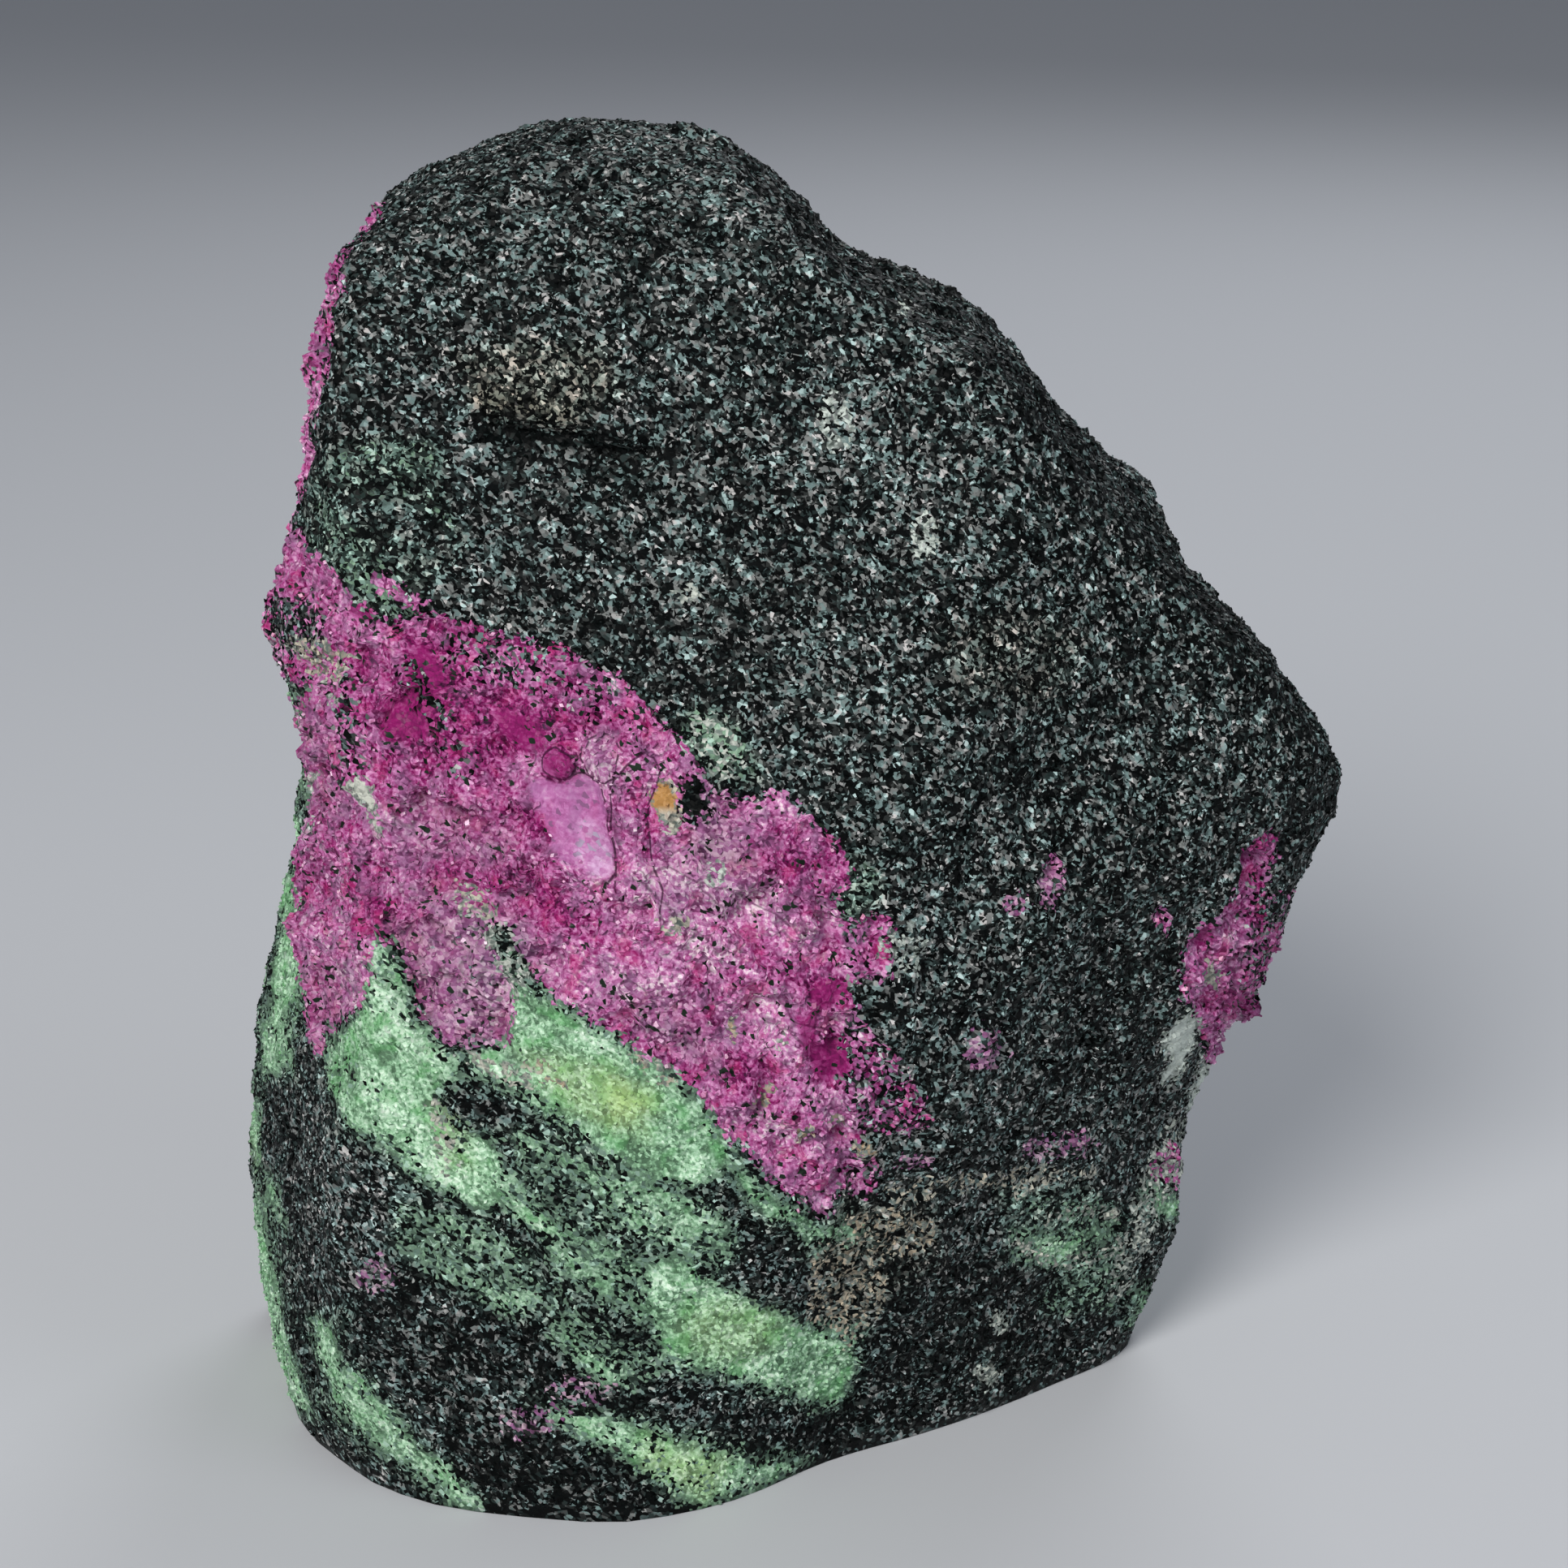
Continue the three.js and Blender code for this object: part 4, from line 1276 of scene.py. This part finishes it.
def skin_finish(colours):
    """The broken rock between the grains."""
    finish = Finish("broken rock")
    flattened = finish.layered(SKIN_FLATNESS)
    grain = finish.cells(CELL_SIZES["fine"] * MM, flattened)
    fine_pick, jitter, other = finish.channels(grain["Color"])
    chunk = finish.cells(CELL_SIZES["coarse"] * MM)
    pick = fine_pick * PICKS["fine"] + finish.channels(chunk["Color"])[0] * PICKS["coarse"]
    spread = finish.blur(CLOUD_SIZES["skin"] * MM, 4.0) - 0.5
    plate = finish.ease(finish.attribute("plate") + spread * PATCHINESS["ruby"], -0.05, 0.3)
    deep = finish.ease(finish.attribute("rich"), *DEEP_RUBY["rich"])

    in_green = finish.attribute("green") - (jitter - 0.5) * MIXING
    in_ruby = finish.attribute("ruby") + (jitter - 0.5) * RUBY_MIXING
    is_green = finish.within(in_green - spread * PATCHINESS["green"])
    is_ruby = finish.within(in_ruby + spread * PATCHINESS["ruby"])
    shade = finish.mix(is_green, black_shades(finish, pick, colours), green_shades(finish, pick, colours))
    ruby = ruby_shades(finish, pick, colours)
    dark = finish.ease(other + spread, 0.93, 0.97)
    ruby = finish.mix(dark, ruby, tuple(colours.green_black))
    smooth = finish.mix(finish.attribute("frost") * other, tuple(colours.plate), tuple(colours.plate_frost))
    ruby = finish.mix(plate * PLATE_COVER, ruby, finish.mix(PLATE_MOTTLING, smooth, ruby))
    shade = pale_over(finish, finish.mix(is_ruby, shade, ruby), other, colours)
    shade = finish.mix(cracks(finish, spread), shade, tuple(colours.ruby_black))

    roughness = ROUGHNESS["black"] + is_green * ROUGHNESS["green"] + pick * ROUGHNESS["pick"]
    roughness = roughness + is_ruby * ROUGHNESS["ruby"]
    coarse = is_ruby * CELL_TILTS["ruby"] + CELL_TILTS["coarse"]
    facets = finish.facets(grain, flattened) * CELL_TILTS["fine"] + coarse * finish.facets(chunk)
    rough = (1 - plate * PLATE_CALM) * (1 - deep * is_ruby * CLEAR_CALM)
    return finish.surface(shade, roughness, facets * rough, {"Specular IOR Level": SKIN_MIRRORING})


def cracks(finish, spread):
    """Fine dark lines round the smooth parts of the ruby."""
    lines = []
    for name in SMOOTH_PARTS:
        away = finish.attribute(name) + spread * PATCHINESS["cracks"]
        lines.append(1 - finish.ease(away.maths("ABSOLUTE", away), *CRACK_WIDTH))
    return functools.reduce(Term.most, lines) * finish.attribute("cracked") * CRACK_DARKNESS


def grain_finish(name, shades_of, colours):
    """A mineral's grains, each with its own tone and gloss, and fine grains of their own in them."""
    finish = Finish(name)
    roughness, mirroring = GLOSS[name]
    gloss = finish.attribute("gloss")
    cell = finish.cells(CELL_SIZES["grain"] * MM)
    pick = finish.attribute("tone") * PICKS["grain"] + finish.channels(cell["Color"])[0] * PICKS["cell"]
    shade = pale_over(finish, shades_of(finish, pick, colours), gloss, colours)
    return finish.surface(shade, gloss * GLOSS_RANGE + roughness, None, {"Specular IOR Level": mirroring})


class GrainTree(Tree):
    """A Geometry Nodes tree that scatters one mineral's grains over the skin."""

    inputs = {
        "Geometry": "Geometry", "Spacing": "Float", "Smallest": "Vector", "Largest": "Vector",
        "Tilt": "Float", "Sink": "Float", "Seed": "Int",
    }

    def __init__(self, name):
        super().__init__(bpy.data.node_groups.new(name, "GeometryNodeTree"))
        self.tree.interface.new_socket("Geometry", in_out="OUTPUT", socket_type="NodeSocketGeometry")
        self.identifiers = {}
        for input_name, kind in self.inputs.items():
            self.add_input(input_name, "NodeSocket" + kind)
        self.given = self.node("NodeGroupInput")

    def add_input(self, name, kind):
        socket = self.tree.interface.new_socket(name, in_out="INPUT", socket_type=kind)
        self.identifiers[name] = socket.identifier

    def random(self, kind, least, most, seed):
        sockets = {"Min": least, "Max": most, "Seed": self.given["Seed"] + seed}
        return self.node("FunctionNodeRandomValue", {"data_type": kind}, sockets)["Value"]

    def named(self, name):
        kind = {"data_type": "FLOAT"}
        return self.node("GeometryNodeInputNamedAttribute", kind, {"Name": name})["Attribute"]

    def keep(self, geometry, name, value):
        settings = {"data_type": "FLOAT", "domain": "INSTANCE"}
        sockets = {"Geometry": geometry, "Name": name, "Value": value}
        return self.node("GeometryNodeStoreNamedAttribute", settings, sockets)["Geometry"]


def scatter_tree(name, crystal, finish):
    """Crystals of one kind, which lie on the skin or stand on it."""
    tree = GrainTree(name)
    points = tree.node("GeometryNodeDistributePointsOnFaces", {"distribute_method": "POISSON"}, {
        "Mesh": tree.given["Geometry"], "Distance Min": tree.given["Spacing"],
        "Density Max": crystal["places"], "Density Factor": tree.named(crystal["where"]),
        "Seed": tree.given["Seed"],
    })
    shape = tree.node("GeometryNodeMeshCone", {"fill_type": "NGON"}, {
        "Vertices": crystal["sides"], "Radius Top": crystal["top"], "Radius Bottom": 1.0, "Depth": 2.0,
    })["Mesh"]
    centred = tree.node("GeometryNodeTransform", {}, {
        "Geometry": shape, "Translation": (0.0, 0.0, -1.0),
    })["Geometry"]
    if crystal["lies"]:
        centred = tree.node("GeometryNodeTransform", {}, {
            "Geometry": centred, "Rotation": (0.0, math.pi / 2, 0.0),
        })["Geometry"]
    flat = tree.node("GeometryNodeSetShadeSmooth", {}, {
        "Geometry": centred, "Shade Smooth": False,
    })["Geometry"]
    tilt = tree.given["Tilt"]
    lean = tree.node("ShaderNodeCombineXYZ", {}, {"X": tilt, "Y": tilt, "Z": math.pi})["Vector"]
    negative = tree.node("ShaderNodeVectorMath", {"operation": "SCALE"}, {0: lean, "Scale": -1.0})["Vector"]
    turn = tree.random("FLOAT_VECTOR", negative, lean, 1)
    rotation = tree.node("FunctionNodeRotateRotation", {"rotation_space": "LOCAL"}, {
        "Rotation": points["Rotation"], "Rotate By": turn,
    })["Rotation"]
    size = tree.random("FLOAT_VECTOR", tree.given["Smallest"], tree.given["Largest"], 2)
    down = tree.node("ShaderNodeVectorMath", {"operation": "SCALE"}, {
        0: points["Normal"], "Scale": tree.given["Sink"] * -1.0,
    })["Vector"]
    sunk = tree.node("GeometryNodeSetPosition", {}, {
        "Geometry": points["Points"], "Offset": down,
    })["Geometry"]
    placed = tree.node("GeometryNodeInstanceOnPoints", {}, {
        "Points": sunk, "Instance": flat, "Rotation": rotation, "Scale": size,
    })["Instances"]
    toned = tree.keep(placed, "tone", tree.random("FLOAT", 0.0, 1.0, 3))
    toned = tree.keep(toned, "gloss", tree.random("FLOAT", 0.0, 1.0, 4))
    real = tree.node("GeometryNodeRealizeInstances", {}, {"Geometry": toned})["Geometry"]
    painted = tree.node("GeometryNodeSetMaterial", {}, {"Geometry": real, "Material": finish})["Geometry"]
    tree.node("NodeGroupOutput", {}, {"Geometry": painted})
    return tree


# The attributes that the grains' finishes read, and how their faces are shaded.
READ_ON_GRAINS = {
    "tone", "gloss", "green", "grey", "rich", "yellow", "brown", "shade", "pale", "warm", "sharp_face",
    "material_index",
}

# Each mineral's crystals: their sides, how wide the top is against the foot, whether they lie down, where
# they grow and how many places on a square metre are tried, their smallest and largest halves as shares of
# half the longest size, how far they lean, how deep they sink in millimetres, where below 0 is
# outwards, and what is added to the seed.
PRISMS = {
    "sides": 3, "top": 0.8, "lies": True, "where": "black_grains", "places": 2e7,
    "smallest": (0.45, 0.26, 0.2), "largest": (1, 0.6, 0.42), "tilt": 0.5, "sink": 0.03, "seed": 0,
}
TABLETS = {
    "sides": 4, "top": 0.6, "lies": False, "where": "ruby_grains", "places": 8e6,
    "smallest": (0.35, 0.3, 0.3), "largest": (1, 0.8, 0.6), "tilt": 0.7, "sink": -0.02, "seed": 10,
}
GRANULES = {
    "sides": 4, "top": 0.7, "lies": False, "where": "green_grains", "places": 8e6,
    "smallest": (0.4, 0.4, 0.3), "largest": (1, 0.8, 0.6), "tilt": 0.5, "sink": -0.03, "seed": 20,
}


def faces_of(crystal):
    """How many faces a crystal has: its sides, its foot and its top."""
    return crystal["sides"] + 2


def scatter(name, crystal, longest, spacing, finish):
    """Makes one piece of a mineral's grains on the skin, as a plain mesh."""
    tree = scatter_tree(name, crystal, finish)
    half = longest / 2
    inputs = {
        "Spacing": spacing,
        "Smallest": tuple(half * share for share in crystal["smallest"]),
        "Largest": tuple(half * share for share in crystal["largest"]),
        "Tilt": crystal["tilt"],
        "Sink": crystal["sink"] * MM,
        "Seed": bpy.context.scene.stone_sizes.seed + crystal["seed"],
    }
    host = bpy.data.objects.new(name + "_host", skin_piece().data)
    bpy.context.scene.collection.objects.link(host)
    modifier = host.modifiers.new("Grains", "NODES")
    modifier.node_group = tree.tree
    for label, value in inputs.items():
        modifier[tree.identifiers[label]] = value
    evaluated = host.evaluated_get(bpy.context.evaluated_depsgraph_get())
    mesh = bpy.data.meshes.new_from_object(evaluated)
    host.modifiers.remove(modifier)
    bpy.data.objects.remove(host)
    mesh.name = name
    if not mesh.polygons:
        raise RuntimeError(f"{name} came out empty")
    kept = READ_ON_GRAINS | {layer.name for layer in mesh.attributes if layer.is_required}
    for attribute in [layer.name for layer in mesh.attributes if layer.name not in kept]:
        mesh.attributes.remove(mesh.attributes[attribute])
    unwrap_grains(mesh, faces_of(crystal))
    return add_piece(name, mesh)


def add_piece(name, mesh):
    """Puts a mesh in the scene as a piece of the stone."""
    piece = bpy.data.objects.new(name, mesh)
    bpy.context.scene.collection.objects.link(piece)
    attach(piece, "root")
    return piece


def skin_piece():
    """The skin that the grains are scattered over."""
    piece = bpy.data.objects.get("stone_skin")
    if piece is None:
        raise RuntimeError("the skin has to be made before its grains")
    return piece


class STONE_OT_skin(bpy.types.Operator):
    """Make the stone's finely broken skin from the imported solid"""

    bl_idname = "stone.skin"
    bl_label = "Broken Skin"

    def execute(self, context):
        mesh = make_skin()
        mesh.materials.append(skin_finish(context.scene.stone_colours))
        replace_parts(add_piece("stone_skin", mesh), "stone")
        return {"FINISHED"}


class STONE_OT_amphibole(bpy.types.Operator):
    """Scatter the black amphibole's prisms over the skin, in three pieces from front to back"""

    bl_idname = "stone.amphibole"
    bl_label = "Amphibole Grains"

    def execute(self, context):
        sizes = context.scene.stone_sizes
        finish = grain_finish("amphibole", black_shades, context.scene.stone_colours)
        grains = scatter("amphibole_grains", PRISMS, sizes.black_length, sizes.black_spacing, finish)
        split_by_depth(grains, faces_of(PRISMS), ("front", "middle", "back"))
        return {"FINISHED"}


def split_by_depth(piece, faces_each, names):
    """Parts a piece of grains from front to back, so that each part stays small enough."""
    mesh = piece.data
    depth = rows_of(mesh.polygons, "center", 3).reshape(-1, faces_each, 3)[:, :, 1].mean(axis=1)
    limits = np.quantile(depth, np.linspace(0, 1, len(names) + 1)[1:-1])
    part_of = np.repeat(np.searchsorted(limits, depth), faces_each)
    for number, name in enumerate(names):
        cutter = bmesh.new()
        cutter.from_mesh(mesh)
        others = [face for face, part in zip(cutter.faces, part_of) if part != number]
        bmesh.ops.delete(cutter, geom=others, context="FACES")
        part = mesh.copy()
        cutter.to_mesh(part)
        cutter.free()
        part.name = f"{piece.name}_{name}"
        add_piece(part.name, part)
    bpy.data.objects.remove(piece)
    bpy.data.meshes.remove(mesh)


class STONE_OT_ruby(bpy.types.Operator):
    """Scatter the ruby's tabular crystals over its lens"""

    bl_idname = "stone.ruby"
    bl_label = "Ruby Crystals"

    def execute(self, context):
        sizes = context.scene.stone_sizes
        finish = grain_finish("ruby", ruby_shades, context.scene.stone_colours)
        scatter("ruby_crystals", TABLETS, sizes.ruby_width, sizes.ruby_spacing, finish)
        return {"FINISHED"}


class STONE_OT_zoisite(bpy.types.Operator):
    """Scatter the zoisite's small grains over the green rock"""

    bl_idname = "stone.zoisite"
    bl_label = "Zoisite Grains"

    def execute(self, context):
        sizes = context.scene.stone_sizes
        finish = grain_finish("zoisite", green_shades, context.scene.stone_colours)
        scatter("zoisite_grains", GRANULES, sizes.green_width, sizes.green_spacing, finish)
        return {"FINISHED"}


# The floor's half size, how far it lies under the stone's foot, and its roughness.
FLOOR_HALF = 4.0
FLOOR_GAP = 0.00005
FLOOR_ROUGHNESS = 0.7
# Where each light stands, how wide it is and its colour. All of them point at the stone's middle. The
# camera sees nothing that is nearer than the last distance.
LIGHTS = {
    "key": ((-0.32, -0.68, 0.55), 0.4, (1.0, 0.985, 0.96)),
    "fill": ((0.7, -0.45, 0.4), 0.6, (0.9, 0.95, 1.0)),
    "rim": ((0.25, 0.6, 0.6), 0.5, (0.95, 0.97, 1.0)),
}
STONE_MIDDLE = (0, 0, 0.05)
NEAREST_SEEN = 0.01


def area_light(name, place, size, power, shade):
    """A round, soft light that points at the stone."""
    data = bpy.data.lights.new(name, "AREA")
    data.shape = "DISK"
    data.size = size
    data.energy = power
    data.color = shade
    light = bpy.data.objects.new(name, data)
    light.location = place
    light.rotation_euler = (Vector(STONE_MIDDLE) - Vector(place)).to_track_quat("-Z", "Y").to_euler()
    bpy.context.scene.collection.objects.link(light)


def add_floor(shade):
    """The plain floor."""
    mesh = bpy.data.meshes.new("floor")
    half = FLOOR_HALF
    corners = [(-half, -half), (half, -half), (half, half), (-half, half)]
    mesh.from_pydata([(x, y, -FLOOR_GAP) for x, y in corners], [], [(0, 1, 2, 3)])
    finish = Finish("floor")
    mesh.materials.append(finish.surface(tuple(shade), FLOOR_ROUGHNESS, None))
    floor = bpy.data.objects.new("floor", mesh)
    bpy.context.scene.collection.objects.link(floor)


def add_camera():
    """A camera that stands and looks as the photograph's did."""
    data = bpy.data.cameras.new("camera")
    data.lens = LENS
    data.sensor_width = SENSOR
    data.clip_start = NEAREST_SEEN
    camera = bpy.data.objects.new("camera", data)
    camera.location = CAMERA_AT * MM
    camera.rotation_euler = (math.pi / 2 - CAMERA_TILT, 0, 0)
    bpy.context.scene.collection.objects.link(camera)
    bpy.context.scene.camera = camera


class STONE_OT_studio(bpy.types.Operator):
    """Set up the pale floor, the soft lights and the camera"""

    bl_idname = "stone.studio"
    bl_label = "Studio"

    def execute(self, context):
        studio = context.scene.stone_studio
        add_floor(studio.floor)
        for name, (place, size, shade) in LIGHTS.items():
            area_light(name, place, size, getattr(studio, name), shade)
        world = bpy.data.worlds.new("studio")
        world.use_nodes = True
        around = world.node_tree.nodes["Background"]
        around.inputs["Color"].default_value = (*studio.backdrop, 1)
        around.inputs["Strength"].default_value = studio.ambient
        context.scene.world = world
        context.scene.view_settings.view_transform = "Standard"
        add_camera()
        return {"FINISHED"}


class STONE_PT_sidebar(bpy.types.Panel):
    """The stone's pieces and settings"""

    bl_idname = "STONE_PT_sidebar"
    bl_label = "Ruby in Zoisite"
    bl_space_type = "VIEW_3D"
    bl_region_type = "UI"
    bl_category = "Stone"

    def draw(self, context):
        layout = self.layout
        for step in STEPS:
            layout.operator(step.bl_idname)
        for settings in (context.scene.stone_sizes, context.scene.stone_colours, context.scene.stone_studio):
            box = layout.box()
            for name in settings.__annotations__:
                box.prop(settings, name)


STEPS = [STONE_OT_studio, STONE_OT_skin, STONE_OT_amphibole, STONE_OT_ruby, STONE_OT_zoisite]
CLASSES = [StoneSizes, StoneColours, StudioSettings, *STEPS, STONE_PT_sidebar]


def register():
    for cls in CLASSES:
        bpy.utils.register_class(cls)
    bpy.types.Scene.stone_sizes = PointerProperty(type=StoneSizes)
    bpy.types.Scene.stone_colours = PointerProperty(type=StoneColours)
    bpy.types.Scene.stone_studio = PointerProperty(type=StudioSettings)


def unregister():
    del bpy.types.Scene.stone_studio
    del bpy.types.Scene.stone_colours
    del bpy.types.Scene.stone_sizes
    for cls in reversed(CLASSES):
        bpy.utils.unregister_class(cls)


def main():
    register()
    bpy.ops.stone.studio()
    bpy.ops.stone.skin()
    bpy.ops.stone.amphibole()
    bpy.ops.stone.ruby()
    bpy.ops.stone.zoisite()


if __name__ == "__main__":
    main()
